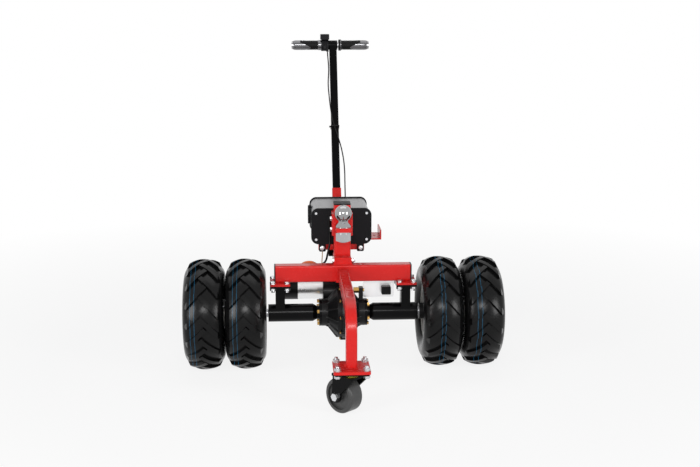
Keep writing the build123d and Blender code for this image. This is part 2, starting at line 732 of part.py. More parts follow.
BEARING_SEAT_X = HOUSING_CONE_X - DIFF_BEARING_WIDTH
with BuildPart() as gear_housing:
    add(housing_body.part)
    add(housing_cavity.part, mode=Mode.SUBTRACT)
    for side in (-1, 1):
        with BuildSketch(yz(side * BEARING_SEAT_X)):
            with Locations((0, AXLE_Z)):
                Circle(DIFF_BEARING_DIA / 2 + HOUSING_WALL)
        extrude(amount=side * (HOUSING_CONE_X - BEARING_SEAT_X))
        with BuildSketch(yz(side * BEARING_SEAT_X)):
            with Locations((0, AXLE_Z)):
                Circle(DIFF_BEARING_DIA / 2)
        extrude(amount=side * (HOUSING_CONE_X - BEARING_SEAT_X), mode=Mode.SUBTRACT)
        with BuildSketch(yz(side * HOUSING_CONE_X)):
            with Locations((0, AXLE_Z)):
                Circle(SHAFT_DIA / 2 + 2)
        extrude(amount=side * (HOUSING_END_X - HOUSING_CONE_X), mode=Mode.SUBTRACT)
    with BuildSketch(yz(TOWER_LEFT_X)):
        with Locations((MOTOR_YZ[0], MOTOR_YZ[1])):
            Circle(GEAR_SHAFT_DIA / 2 + 1)
    extrude(amount=HOUSING_WALL, mode=Mode.SUBTRACT)
    for face_x in (TOWER_LEFT_X + HOUSING_WALL - 4, TOWER_RIGHT_X - HOUSING_WALL):
        with BuildSketch(yz(face_x)):
            with Locations((CLUSTER_YZ[0], CLUSTER_YZ[1])):
                Circle(GEAR_SHAFT_DIA / 2 + RUNNING_GAP)
        extrude(amount=4, mode=Mode.SUBTRACT)
    with BuildSketch(yz(LUG_X - 6)):
        with Locations((0, AXLE_Z + LUG_TOP - LUG_SIZE / 3)):
            Circle((SADDLE_BOLT_DIA + HOLE_GAP) / 2)
    extrude(amount=12, mode=Mode.SUBTRACT)
    for side, start in ((-1, 90), (1, -90)):
        with BuildSketch(yz(side * (HOUSING_END_X - TUBE_FLANGE))):
            with Locations((0, AXLE_Z)):
                with PolarLocations(FLANGE_BOLT_PCD / 2, FLANGE_BOLT_COUNT, start_angle=start):
                    Circle(FLANGE_BOLT_DIA / 2 + RUNNING_GAP)
        extrude(amount=-side * 2 * FLANGE_BOLT_DIA, mode=Mode.SUBTRACT)

for word, keep in (("left", Keep.BOTTOM), ("right", Keep.TOP)):
    with BuildPart() as housing_half:
        add(gear_housing.part)
        split(bisect_by=Plane.YZ, keep=keep)
    write(housing_half, f"gear_housing_{word}")

with BuildPart() as housing_bolts:
    for side, start in ((-1, 90), (1, -90)):
        with BuildSketch(yz(side * HOUSING_END_X)):
            with Locations((0, AXLE_Z)):
                with PolarLocations(FLANGE_BOLT_PCD / 2, FLANGE_BOLT_COUNT, start_angle=start):
                    hexagon(FLANGE_BOLT_DIA)
        extrude(amount=side * FLANGE_BOLT_DIA)
        with BuildSketch(yz(side * HOUSING_END_X)):
            with Locations((0, AXLE_Z)):
                with PolarLocations(FLANGE_BOLT_PCD / 2, FLANGE_BOLT_COUNT, start_angle=start):
                    Circle(FLANGE_BOLT_DIA / 2)
        extrude(amount=-side * (TUBE_FLANGE + 2 * FLANGE_BOLT_DIA - 1))
    with BuildSketch(yz(LUG_X - 6)):
        with Locations((0, AXLE_Z + LUG_TOP - LUG_SIZE / 3)):
            hexagon(SADDLE_BOLT_DIA)
    extrude(amount=-SADDLE_BOLT_DIA * 1.6)
    with BuildSketch(yz(LUG_X - 6)):
        with Locations((0, AXLE_Z + LUG_TOP - LUG_SIZE / 3)):
            Circle(SADDLE_BOLT_DIA / 2)
    extrude(amount=16)
write(housing_bolts, "housing_bolts")

# Differential: ring gear on its case, which holds the cross pin, and two spider gears
RING_X = -RING_WIDTH / 2 + 1
with BuildPart() as ring_gear:
    with BuildSketch(yz(RING_X)):
        with Locations((0, AXLE_Z)):
            Polygon(*gear_outline(RING_TEETH, RING_MODULE, TOWER_ANGLE), align=None)
            Circle(DIFF_CASE_DIA / 2 + RUNNING_GAP, mode=Mode.SUBTRACT)
    extrude(amount=RING_WIDTH)
write(ring_gear, "ring_gear")

with BuildPart() as diff_case:
    with BuildSketch(yz(-DIFF_CASE_HALF)):
        with Locations((0, AXLE_Z)):
            Circle(DIFF_CASE_DIA / 2)
    extrude(amount=2 * DIFF_CASE_HALF)
    with BuildSketch(yz(RING_X + RING_WIDTH)):
        with Locations((0, AXLE_Z)):
            Circle(DIFF_CASE_DIA / 2 + 14)
    extrude(amount=DIFF_CASE_WALL)
    with BuildSketch(yz(-HOUSING_CONE_X)):
        with Locations((0, AXLE_Z)):
            Circle(SHAFT_DIA / 2 + DIFF_CASE_WALL)
    extrude(amount=2 * HOUSING_CONE_X)
    with BuildSketch(yz(DIFF_CASE_WALL - DIFF_CASE_HALF)):
        with Locations((0, AXLE_Z)):
            Circle(DIFF_CASE_DIA / 2 - DIFF_CASE_WALL)
    extrude(amount=2 * (DIFF_CASE_HALF - DIFF_CASE_WALL), mode=Mode.SUBTRACT)
    with BuildSketch(yz(-HOUSING_CONE_X)):
        with Locations((0, AXLE_Z)):
            Circle(SHAFT_DIA / 2 + RUNNING_GAP)
    extrude(amount=2 * HOUSING_CONE_X, mode=Mode.SUBTRACT)
    with BuildSketch(xy(AXLE_Z - DIFF_CASE_DIA / 2 + 2)):
        Circle(SPIDER_PIN_DIA / 2)
    extrude(amount=DIFF_CASE_DIA - 4)
write(diff_case, "diff_case")

for up, word in ((1, "upper"), (-1, "lower")):
    with BuildPart() as spider:
        with BuildSketch(xy(AXLE_Z + SPIDER_REACH)):
            Polygon(*bevel_outline(SPIDER_TEETH, SIDE_TEETH, 1, 180 / SPIDER_TEETH), align=None)
        with BuildSketch(xy(AXLE_Z + SPIDER_REACH * BEVEL_FACE)):
            Polygon(*bevel_outline(SPIDER_TEETH, SIDE_TEETH, BEVEL_FACE, 180 / SPIDER_TEETH), align=None)
        loft(ruled=True)
        with BuildSketch(xy(AXLE_Z + SPIDER_REACH)):
            Circle(SPIDER_PIN_DIA)
        extrude(amount=4)
        with BuildSketch(xy(AXLE_Z)):
            Circle(SPIDER_PIN_DIA / 2 + RUNNING_GAP)
        extrude(amount=2 * SPIDER_REACH, mode=Mode.SUBTRACT)
        if up < 0:
            mirror(about=xy(AXLE_Z), mode=Mode.REPLACE)
    write(spider, f"{word}_spider_gear")

# Cluster gear between the motor pinion and the ring gear
LARGE_X = RING_X - LARGE_WIDTH - 6
with BuildPart() as cluster_gear:
    with BuildSketch(yz(RING_X)):
        with Locations((CLUSTER_YZ[0], CLUSTER_YZ[1])):
            phase = TOWER_ANGLE + 180 + 180 / SMALL_TEETH
            Polygon(*gear_outline(SMALL_TEETH, RING_MODULE, phase), align=None)
    extrude(amount=RING_WIDTH)
    with BuildSketch(yz(LARGE_X)):
        with Locations((CLUSTER_YZ[0], CLUSTER_YZ[1])):
            Polygon(*gear_outline(LARGE_TEETH, PINION_MODULE, TOWER_ANGLE), align=None)
    extrude(amount=LARGE_WIDTH)
    with BuildSketch(yz(TOWER_LEFT_X + HOUSING_WALL - 3.5)):
        with Locations((CLUSTER_YZ[0], CLUSTER_YZ[1])):
            Circle(GEAR_SHAFT_DIA / 2)
    extrude(amount=TOWER_RIGHT_X - TOWER_LEFT_X - 2 * HOUSING_WALL + 7)
write(cluster_gear, "cluster_gear")

# Motor: case lined with magnets, wound rotor with its pinion, and the brush cap behind
CAP_FLOOR = 6.0
ROTOR_R = MOTOR_DIA / 2 - MOTOR_WALL - MAGNET - ROTOR_GAP
CAP_INNER_R = MOTOR_DIA / 2 - MOTOR_WALL
with BuildPart() as motor_case:
    with BuildSketch(yz(MOTOR_REAR_X)):
        with Locations(MOTOR_YZ):
            Circle(MOTOR_DIA / 2)
    extrude(amount=MOTOR_LENGTH)
    with BuildSketch(yz(MOTOR_REAR_X)):
        with Locations(MOTOR_YZ):
            Circle(MOTOR_DIA / 2 - MOTOR_WALL)
    extrude(amount=MOTOR_LENGTH - MOTOR_WALL, mode=Mode.SUBTRACT)
    with BuildSketch(yz(MOTOR_REAR_X + 6)):
        with Locations(MOTOR_YZ):
            Circle(MOTOR_DIA / 2 - MOTOR_WALL / 2)
            Circle(MOTOR_DIA / 2 - MOTOR_WALL - MAGNET, mode=Mode.SUBTRACT)
            Rectangle(MOTOR_DIA, MOTOR_DIA / 4, mode=Mode.SUBTRACT)
    extrude(amount=MOTOR_LENGTH - 18)
    with BuildSketch(yz(MOTOR_FRONT_X)):
        with Locations(MOTOR_YZ):
            Circle(GEAR_SHAFT_DIA / 2 + RUNNING_GAP)
    extrude(amount=-MOTOR_WALL, mode=Mode.SUBTRACT)
write(motor_case, "motor_case")

with BuildPart() as motor_end_cap:
    with BuildSketch(yz(MOTOR_REAR_X)):
        with Locations(MOTOR_YZ):
            Circle(MOTOR_DIA / 2 + 1)
    extrude(amount=-MOTOR_CAP_LENGTH)
    fillet(motor_end_cap.faces().sort_by(Axis.X)[0].edges(), radius=5)
    with BuildSketch(yz(MOTOR_REAR_X)):
        with Locations(MOTOR_YZ):
            Circle(CAP_INNER_R)
    extrude(amount=CAP_FLOOR - MOTOR_CAP_LENGTH, mode=Mode.SUBTRACT)
    with BuildSketch(yz(MOTOR_END_X + CAP_FLOOR - 4)):
        with Locations(MOTOR_YZ):
            Circle(GEAR_SHAFT_DIA / 2 + RUNNING_GAP)
    extrude(amount=4, mode=Mode.SUBTRACT)
write(motor_end_cap, "motor_end_cap")

COMMUTATOR_X = MOTOR_REAR_X - MOTOR_CAP_LENGTH / 2
with BuildPart() as motor_rotor:
    with BuildSketch(yz(MOTOR_END_X + CAP_FLOOR - 3.5)):
        with Locations(MOTOR_YZ):
            Circle(GEAR_SHAFT_DIA / 2)
    extrude(amount=LARGE_X - 1 - MOTOR_END_X - CAP_FLOOR + 3.5)
    with BuildSketch(yz(MOTOR_REAR_X + 8)):
        with Locations(MOTOR_YZ):
            Circle(ROTOR_R)
    extrude(amount=MOTOR_LENGTH - 22)
    with BuildSketch(yz(COMMUTATOR_X - COMMUTATOR_LENGTH / 2)):
        with Locations(MOTOR_YZ):
            Circle(COMMUTATOR_DIA / 2)
    extrude(amount=COMMUTATOR_LENGTH)
    with BuildSketch(yz(LARGE_X - 1)):
        with Locations(MOTOR_YZ):
            phase = TOWER_ANGLE + 180 + 180 / PINION_TEETH
            Polygon(*gear_outline(PINION_TEETH, PINION_MODULE, phase), align=None)
    extrude(amount=LARGE_WIDTH + 2)
write(motor_rotor, "motor_rotor")


def tube_section(width, depth, wall, radius):
    """Rounded rectangular tube section, centred."""
    RectangleRounded(width, depth, radius)
    RectangleRounded(width - 2 * wall, depth - 2 * wall, max(radius - wall, 0.5), mode=Mode.SUBTRACT)


# Cross beam on its two welded saddle plates, with its end caps
SADDLE_BOLTS = [
    (side * SADDLE_X + dx * SADDLE_BOLT_X / 2, dy * SADDLE_BOLT_Y / 2)
    for side in (-1, 1)
    for dx in (-1, 1)
    for dy in (-1, 1)
]
RED_PLATE_Z = BEAM_BOTTOM_Z - SADDLE_PLATE
BLACK_PLATE_Z = RED_PLATE_Z - SADDLE_PLATE


def saddle_plates():
    """Both saddle plates with their bolt holes, drawn on the current level plane."""
    with Locations((-SADDLE_X, 0), (SADDLE_X, 0)):
        RectangleRounded(SADDLE_WIDTH, SADDLE_DEPTH, 3)
    with Locations(*SADDLE_BOLTS):
        Circle((SADDLE_BOLT_DIA + HOLE_GAP) / 2, mode=Mode.SUBTRACT)


with BuildPart() as cross_beam:
    with BuildSketch(yz(-BEAM_HALF)):
        with Locations((0, BEAM_BOTTOM_Z + BEAM_HEIGHT / 2)):
            tube_section(BEAM_DEPTH, BEAM_HEIGHT, FRAME_WALL, FRAME_RADIUS)
    extrude(amount=2 * BEAM_HALF)
    with BuildSketch(xy(RED_PLATE_Z)):
        saddle_plates()
    extrude(amount=SADDLE_PLATE)
write(cross_beam, "cross_beam")

with BuildPart() as tube_caps:
    with BuildSketch(yz(BEAM_HALF)):
        with Locations((0, BEAM_BOTTOM_Z + BEAM_HEIGHT / 2)):
            RectangleRounded(BEAM_DEPTH, BEAM_HEIGHT, FRAME_RADIUS)
    extrude(amount=CAP_THICKNESS)
    mirror(about=Plane.YZ)
    with BuildSketch(xy(POST_TOP_Z)):
        with Locations((0, POST_Y)):
            RectangleRounded(POST_SIZE, POST_SIZE, FRAME_RADIUS)
    extrude(amount=CAP_THICKNESS)
write(tube_caps, "tube_end_caps")

# Black saddle plates on coped posts, which the axle hangs from
with BuildPart() as axle_saddles:
    with BuildSketch(xy(AXLE_Z)):
        with Locations((-SADDLE_X, 0), (SADDLE_X, 0)):
            Rectangle(SADDLE_POST_WIDTH, SADDLE_POST_DEPTH)
    extrude(amount=BLACK_PLATE_Z - AXLE_Z)
    with BuildSketch(xy(BLACK_PLATE_Z)):
        saddle_plates()
    extrude(amount=SADDLE_PLATE)
    with BuildSketch(yz(-SADDLE_X - SADDLE_WIDTH)):
        with Locations((0, AXLE_Z)):
            Circle(TUBE_DIA / 2)
    extrude(amount=2 * (SADDLE_X + SADDLE_WIDTH), mode=Mode.SUBTRACT)
write(axle_saddles, "axle_saddles")


def through_bolts(points, diameter, head_z, nut_z):
    """Upright bolts with heads on one level face and nuts against another."""
    up = 1 if head_z > nut_z else -1
    with BuildSketch(xy(head_z)) as heads:
        with Locations(*points):
            hexagon(diameter)
    extrude(heads.sketch, amount=up * diameter * HEAD_SHARE)
    with BuildSketch(xy(head_z)) as shanks:
        with Locations(*points):
            Circle(diameter / 2)
    extrude(shanks.sketch, amount=nut_z - head_z - up * 1.4 * diameter)
    with BuildSketch(xy(nut_z)) as nuts:
        with Locations(*points):
            hexagon(diameter)
            Circle(diameter / 2 + RUNNING_GAP, mode=Mode.SUBTRACT)
    extrude(nuts.sketch, amount=-up * diameter * NUT_SHARE)


# Caster arm: a rectangular tube with a weld collar, bent down to the caster plate
ARM_Z = BEAM_BOTTOM_Z + BEAM_HEIGHT / 2 - 3
CASTER_BOLTS = [
    (dx * CASTER_BOLT_PITCH / 2, -ARM_REACH + dy * CASTER_BOLT_PITCH / 2) for dx in (-1, 1) for dy in (-1, 1)
]
with BuildPart() as caster_arm:
    with BuildLine():
        FilletPolyline(
            (0, BEAM_FRONT_Y, ARM_Z),
            (0, -ARM_REACH, ARM_Z),
            (0, -ARM_REACH, CASTER_PLATE_TOP_Z),
            radius=ARM_BEND,
        )
    with BuildSketch(Plane(origin=(0, BEAM_FRONT_Y, ARM_Z), x_dir=(1, 0, 0), z_dir=(0, -1, 0))):
        tube_section(ARM_WIDTH, ARM_DEPTH, ARM_WALL, FRAME_RADIUS)
    sweep()
    with BuildSketch(xz(BEAM_FRONT_Y)):
        with Locations((0, ARM_Z)):
            RectangleRounded(ARM_WIDTH + 2 * ARM_COLLAR, ARM_DEPTH + ARM_COLLAR, 3)
            RectangleRounded(ARM_WIDTH - ARM_WALL, ARM_DEPTH - ARM_WALL, FRAME_RADIUS, mode=Mode.SUBTRACT)
    extrude(amount=ARM_COLLAR_DEPTH)
    with BuildSketch(xy(CASTER_PLATE_TOP_Z)):
        with Locations((0, -ARM_REACH)):
            RectangleRounded(CASTER_PLATE, CASTER_PLATE, 3)
        with Locations(*CASTER_BOLTS):
            Circle((CASTER_BOLT_DIA + HOLE_GAP) / 2, mode=Mode.SUBTRACT)
    extrude(amount=-CASTER_PLATE_THICKNESS)
write(caster_arm, "caster_arm")

# Caster: fixed top plate with race and kingpin, swivelling fork, wheel on its axle bolt
CASTER_PLATE_Z = CASTER_TOP_Z - CASTER_TOP_THICKNESS
RACE_Z = CASTER_PLATE_Z - CASTER_RACE_HEIGHT
FORK_TOP_Z = RACE_Z - CASTER_RACE_GAP
FORK_INNER = CASTER_WHEEL_WIDTH / 2 + FORK_GAP
FORK_OUTER = FORK_INNER + FORK_WALL
CASTER_AXLE_Z = CASTER_WHEEL_DIA / 2
KINGPIN_HEAD = 4.0
SWIVEL = Plane(
    origin=(0, -ARM_REACH, 0),
    x_dir=(cos(radians(CASTER_TURN)), sin(radians(CASTER_TURN)), 0),
    z_dir=(0, 0, 1),
)
SWIVEL_SIDE = Plane(origin=SWIVEL.origin, x_dir=SWIVEL.y_dir, z_dir=SWIVEL.x_dir)
KINGPIN_END_Z = FORK_TOP_Z - FORK_WALL - CASTER_RACE_GAP - KINGPIN_HEAD

with BuildPart() as caster_top_plate:
    with BuildSketch(xy(CASTER_TOP_Z)):
        with Locations((0, -ARM_REACH)):
            RectangleRounded(CASTER_TOP_PLATE, CASTER_TOP_PLATE, 6)
        with Locations(*CASTER_BOLTS):
            Circle((CASTER_BOLT_DIA + HOLE_GAP) / 2, mode=Mode.SUBTRACT)
    extrude(amount=-CASTER_TOP_THICKNESS)
    with BuildSketch(xy(CASTER_PLATE_Z)):
        with Locations((0, -ARM_REACH)):
            Circle(CASTER_RACE_DIA / 2)
    extrude(amount=-CASTER_RACE_HEIGHT)
    with BuildSketch(xy(RACE_Z)):
        with Locations((0, -ARM_REACH)):
            Circle(KINGPIN_DIA / 2)
    extrude(amount=KINGPIN_END_Z - RACE_Z)
    with BuildSketch(xy(KINGPIN_END_Z)):
        with Locations((0, -ARM_REACH)):
            Circle(KINGPIN_DIA / 2 + 3)
    extrude(amount=KINGPIN_HEAD)
write(caster_top_plate, "caster_top_plate")

with BuildPart() as caster_fork:
    with BuildSketch(SWIVEL.offset(FORK_TOP_Z)):
        with Locations((0, CASTER_TRAIL / 4)):
            RectangleRounded(2 * FORK_OUTER, FORK_LENGTH, 4)
    extrude(amount=-FORK_WALL)
    with BuildSketch(SWIVEL_SIDE.offset(-FORK_OUTER)):
        with BuildLine():
            front = CASTER_TRAIL / 4 - FORK_LENGTH / 2 + 6
            rear = CASTER_TRAIL / 4 + FORK_LENGTH / 2 - 6
            Polyline(
                (CASTER_TRAIL - 15, CASTER_AXLE_Z - 3),
                (CASTER_TRAIL - 17, CASTER_AXLE_Z + 12),
                (front, FORK_TOP_Z - FORK_WALL - 10),
                (front, FORK_TOP_Z - 1),
                (rear, FORK_TOP_Z - 1),
                (rear, FORK_TOP_Z - FORK_WALL - 10),
                (CASTER_TRAIL + 15, CASTER_AXLE_Z + 12),
                (CASTER_TRAIL + 15, CASTER_AXLE_Z - 3),
            )
            ThreePointArc(
                (CASTER_TRAIL + 15, CASTER_AXLE_Z - 3),
                (CASTER_TRAIL, CASTER_AXLE_Z - 16),
                (CASTER_TRAIL - 15, CASTER_AXLE_Z - 3),
            )
        make_face()
    extrude(amount=2 * FORK_OUTER)
    with BuildSketch(SWIVEL_SIDE.offset(-FORK_INNER)):
        with Locations((CASTER_TRAIL / 4, (FORK_TOP_Z - FORK_WALL) / 2)):
            Rectangle(2 * FORK_LENGTH, FORK_TOP_Z - FORK_WALL)
    extrude(amount=2 * FORK_INNER, mode=Mode.SUBTRACT)
    with BuildSketch(SWIVEL_SIDE.offset(-FORK_OUTER)):
        with Locations((CASTER_TRAIL, CASTER_AXLE_Z)):
            Circle(CASTER_AXLE_DIA / 2 + RUNNING_GAP)
    extrude(amount=2 * FORK_OUTER, mode=Mode.SUBTRACT)
    with BuildSketch(SWIVEL.offset(FORK_TOP_Z)):
        Circle(KINGPIN_DIA / 2 + RUNNING_GAP)
    extrude(amount=-FORK_WALL, mode=Mode.SUBTRACT)
write(caster_fork, "caster_fork")

with BuildPart() as caster_axle_bolt:
    with BuildSketch(SWIVEL_SIDE.offset(-FORK_OUTER)):
        with Locations((CASTER_TRAIL, CASTER_AXLE_Z)):
            hexagon(CASTER_AXLE_DIA)
    extrude(amount=-CASTER_AXLE_DIA * HEAD_SHARE)
    with BuildSketch(SWIVEL_SIDE.offset(-FORK_OUTER)):
        with Locations((CASTER_TRAIL, CASTER_AXLE_Z)):
            Circle(CASTER_AXLE_DIA / 2)
    extrude(amount=2 * FORK_OUTER + 1.3 * CASTER_AXLE_DIA)
    with BuildSketch(SWIVEL_SIDE.offset(FORK_OUTER)):
        with Locations((CASTER_TRAIL, CASTER_AXLE_Z)):
            hexagon(CASTER_AXLE_DIA)
            Circle(CASTER_AXLE_DIA / 2 + RUNNING_GAP, mode=Mode.SUBTRACT)
    extrude(amount=CASTER_AXLE_DIA * NUT_SHARE)
write(caster_axle_bolt, "caster_axle_bolt")

with BuildPart() as caster_wheel:
    with BuildSketch(SWIVEL_SIDE.offset(-CASTER_WHEEL_WIDTH / 2)):
        with Locations((CASTER_TRAIL, CASTER_AXLE_Z)):
            Circle(CASTER_WHEEL_DIA / 2)
    extrude(amount=CASTER_WHEEL_WIDTH)
    fillet(caster_wheel.edges(), radius=6)
    with BuildSketch(SWIVEL_SIDE.offset(-FORK_INNER + 0.5)):
        with Locations((CASTER_TRAIL, CASTER_AXLE_Z)):
            Circle(CASTER_AXLE_DIA)
    extrude(amount=2 * FORK_INNER - 1)
    for end in (-1, 1):
        with BuildSketch(SWIVEL_SIDE.offset(end * CASTER_WHEEL_WIDTH / 2)):
            with Locations((CASTER_TRAIL, CASTER_AXLE_Z)):
                Circle(CASTER_WHEEL_DIA / 2 - CASTER_TREAD)
                Circle(CASTER_AXLE_DIA, mode=Mode.SUBTRACT)
        extrude(amount=-end * 7, mode=Mode.SUBTRACT)
    with BuildSketch(SWIVEL_SIDE.offset(-FORK_INNER)):
        with Locations((CASTER_TRAIL, CASTER_AXLE_Z)):
            Circle(CASTER_AXLE_DIA / 2 + RUNNING_GAP)
    extrude(amount=2 * FORK_INNER, mode=Mode.SUBTRACT)
write(caster_wheel, "caster_wheel")

# Hitch post, welded on an open channel with a cross bolt
with BuildPart() as hitch_post:
    with BuildSketch(xz(POST_REAR_Y + CHANNEL_REAR)):
        with Locations((0, BEAM_TOP_Z + CHANNEL_HEIGHT / 2)):
            Rectangle(CHANNEL_WIDTH, CHANNEL_HEIGHT)
        fillet(vertices().group_by(Axis.Y)[-1], CHANNEL_RADIUS)
        with Locations((0, BEAM_TOP_Z + (CHANNEL_HEIGHT - CHANNEL_WALL) / 2)):
            Rectangle(CHANNEL_WIDTH - 2 * CHANNEL_WALL, CHANNEL_HEIGHT - CHANNEL_WALL, mode=Mode.SUBTRACT)
    extrude(amount=POST_REAR_Y + CHANNEL_REAR - CHANNEL_FRONT_Y)
    with BuildSketch(xz(CHANNEL_FRONT_Y + CHANNEL_END)):
        with Locations((0, BEAM_TOP_Z + CHANNEL_HEIGHT / 2)):
            Rectangle(CHANNEL_WIDTH - CHANNEL_WALL, CHANNEL_HEIGHT - CHANNEL_WALL)
        with Locations((0, BEAM_TOP_Z + (CHANNEL_HEIGHT - CHANNEL_WALL) / 2)):
            Rectangle(CHANNEL_WIDTH - 2 * CHANNEL_WALL, CHANNEL_HEIGHT - CHANNEL_WALL)
    extrude(amount=CHANNEL_END / 2)
    with BuildSketch(yz(-CHANNEL_WIDTH)):
        with Locations((0, BEAM_TOP_Z + CHANNEL_HEIGHT / 2)):
            Circle((CHANNEL_PIN_DIA + HOLE_GAP) / 2)
    extrude(amount=2 * CHANNEL_WIDTH, mode=Mode.SUBTRACT)
    with BuildSketch(xy(POST_BOTTOM_Z - CHANNEL_WALL / 2)):
        with Locations((0, POST_Y)):
            tube_section(POST_SIZE, POST_SIZE, POST_WALL, FRAME_RADIUS)
    extrude(amount=POST_TOP_Z - POST_BOTTOM_Z + CHANNEL_WALL / 2)
write(hitch_post, "hitch_post")

# Ball mount: a sleeve round the post with a shelf for the ball
MOUNT_SIZE = POST_SIZE + 2 * MOUNT_WALL
MOUNT_BOTTOM_Z = MOUNT_TOP_Z - MOUNT_HEIGHT
MOUNT_FRONT_Y = POST_FRONT_Y - MOUNT_WALL
MOUNT_BOLT_Z = (MOUNT_BOTTOM_Z + MOUNT_HEIGHT * 0.22, MOUNT_BOTTOM_Z + MOUNT_HEIGHT * 0.72)
with BuildPart() as ball_mount:
    with BuildSketch(xy(MOUNT_BOTTOM_Z)):
        with Locations((0, POST_Y)):
            RectangleRounded(MOUNT_SIZE, MOUNT_SIZE, FRAME_RADIUS)
    extrude(amount=MOUNT_HEIGHT)
    with BuildSketch(xy(SHELF_TOP_Z)):
        with Locations((0, (MOUNT_FRONT_Y + BALL_Y - SHELF_NOSE) / 2 + 2)):
            RectangleRounded(SHELF_WIDTH, MOUNT_FRONT_Y - BALL_Y + SHELF_NOSE + 4, 4)
    extrude(amount=-SHELF_THICKNESS)
    with BuildSketch(xy(MOUNT_BOTTOM_Z)):
        with Locations((0, POST_Y)):
            RectangleRounded(POST_SIZE + 2 * MOUNT_GAP, POST_SIZE + 2 * MOUNT_GAP, FRAME_RADIUS)
    extrude(amount=MOUNT_HEIGHT, mode=Mode.SUBTRACT)
    with BuildSketch(xy(SHELF_TOP_Z)):
        with Locations((0, BALL_Y)):
            Circle(BALL_SHANK_DIA / 2 + RUNNING_GAP)
    extrude(amount=-SHELF_THICKNESS, mode=Mode.SUBTRACT)
    with BuildSketch(yz(-MOUNT_SIZE / 2)):
        with Locations(*[(POST_Y, level) for level in MOUNT_BOLT_Z]):
            Circle(MOUNT_BOLT_DIA / 2 + RUNNING_GAP)
    extrude(amount=MOUNT_WALL, mode=Mode.SUBTRACT)
write(ball_mount, "ball_mount")

# Hexagon bolts of the frame: saddles, caster plate, post channel and ball mount
with BuildPart() as frame_bolts:
    through_bolts(SADDLE_BOLTS, SADDLE_BOLT_DIA, BEAM_BOTTOM_Z, BLACK_PLATE_Z)
    through_bolts(CASTER_BOLTS, CASTER_BOLT_DIA, CASTER_PLATE_Z, CASTER_PLATE_TOP_Z)
    with BuildSketch(yz(-CHANNEL_WIDTH / 2)):
        with Locations((0, BEAM_TOP_Z + CHANNEL_HEIGHT / 2)):
            hexagon(CHANNEL_PIN_DIA)
    extrude(amount=-CHANNEL_PIN_DIA * HEAD_SHARE)
    with BuildSketch(yz(-CHANNEL_WIDTH / 2)):
        with Locations((0, BEAM_TOP_Z + CHANNEL_HEIGHT / 2)):
            Circle(CHANNEL_PIN_DIA / 2)
    extrude(amount=CHANNEL_WIDTH + 1.4 * CHANNEL_PIN_DIA)
    with BuildSketch(yz(CHANNEL_WIDTH / 2)):
        with Locations((0, BEAM_TOP_Z + CHANNEL_HEIGHT / 2)):
            hexagon(CHANNEL_PIN_DIA)
            Circle(CHANNEL_PIN_DIA / 2 + RUNNING_GAP, mode=Mode.SUBTRACT)
    extrude(amount=CHANNEL_PIN_DIA * NUT_SHARE)
    with BuildSketch(yz(-MOUNT_SIZE / 2)):
        with Locations(*[(POST_Y, level) for level in MOUNT_BOLT_Z]):
            hexagon(MOUNT_BOLT_DIA)
    extrude(amount=-MOUNT_BOLT_DIA * HEAD_SHARE)
    with BuildSketch(yz(-MOUNT_SIZE / 2)):
        with Locations(*[(POST_Y, level) for level in MOUNT_BOLT_Z]):
            Circle(MOUNT_BOLT_DIA / 2)
    extrude(amount=MOUNT_WALL)
write(frame_bolts, "frame_bolts")

# Hitch ball, its nut and the split washer between nut and shelf
BALL_Z = SHELF_TOP_Z + BALL_RISE
NUT_TOP_Z = SHELF_TOP_Z - SHELF_THICKNESS - BALL_WASHER
with BuildPart() as hitch_ball:
    with BuildSketch(Plane.YZ):
        with BuildLine():
            neck = BALL_NECK_DIA / 2
            dip = sqrt((BALL_DIA / 2) ** 2 - neck**2)
            Polyline(
                (BALL_Y, NUT_TOP_Z - BALL_NUT - 3),
                (BALL_Y + BALL_SHANK_DIA / 2, NUT_TOP_Z - BALL_NUT - 3),
                (BALL_Y + BALL_SHANK_DIA / 2, SHELF_TOP_Z),
                (BALL_Y + BALL_FLANGE_DIA / 2, SHELF_TOP_Z),
                (BALL_Y + BALL_FLANGE_DIA / 2, SHELF_TOP_Z + BALL_FLANGE / 2),
                (BALL_Y + neck, SHELF_TOP_Z + 2 * BALL_FLANGE),
                (BALL_Y + neck, BALL_Z - dip),
            )
            ThreePointArc(
                (BALL_Y + neck, BALL_Z - dip), (BALL_Y + BALL_DIA / 2, BALL_Z), (BALL_Y, BALL_Z + BALL_DIA / 2)
            )
            Line((BALL_Y, BALL_Z + BALL_DIA / 2), (BALL_Y, NUT_TOP_Z - BALL_NUT - 3))
        make_face()
    revolve(axis=Axis((0, BALL_Y, 0), (0, 0, 1)))
write(hitch_ball, "hitch_ball")

with BuildPart() as ball_nut:
    with BuildSketch(xy(NUT_TOP_Z)):
        with Locations((0, BALL_Y)):
            RegularPolygon(BALL_NUT_AF / 2, 6, major_radius=False)
            Circle(BALL_SHANK_DIA / 2 + RUNNING_GAP, mode=Mode.SUBTRACT)
    extrude(amount=-BALL_NUT)
    with BuildSketch(xy(NUT_TOP_Z)):
        with Locations((0, BALL_Y)):
            Circle(BALL_NUT_AF / 2)
            Circle(BALL_SHANK_DIA / 2 + RUNNING_GAP, mode=Mode.SUBTRACT)
        with Locations((BALL_NUT_AF / 2, BALL_Y)):
            Rectangle(BALL_NUT_AF, 2, mode=Mode.SUBTRACT)
    extrude(amount=BALL_WASHER)
write(ball_nut, "ball_nut")

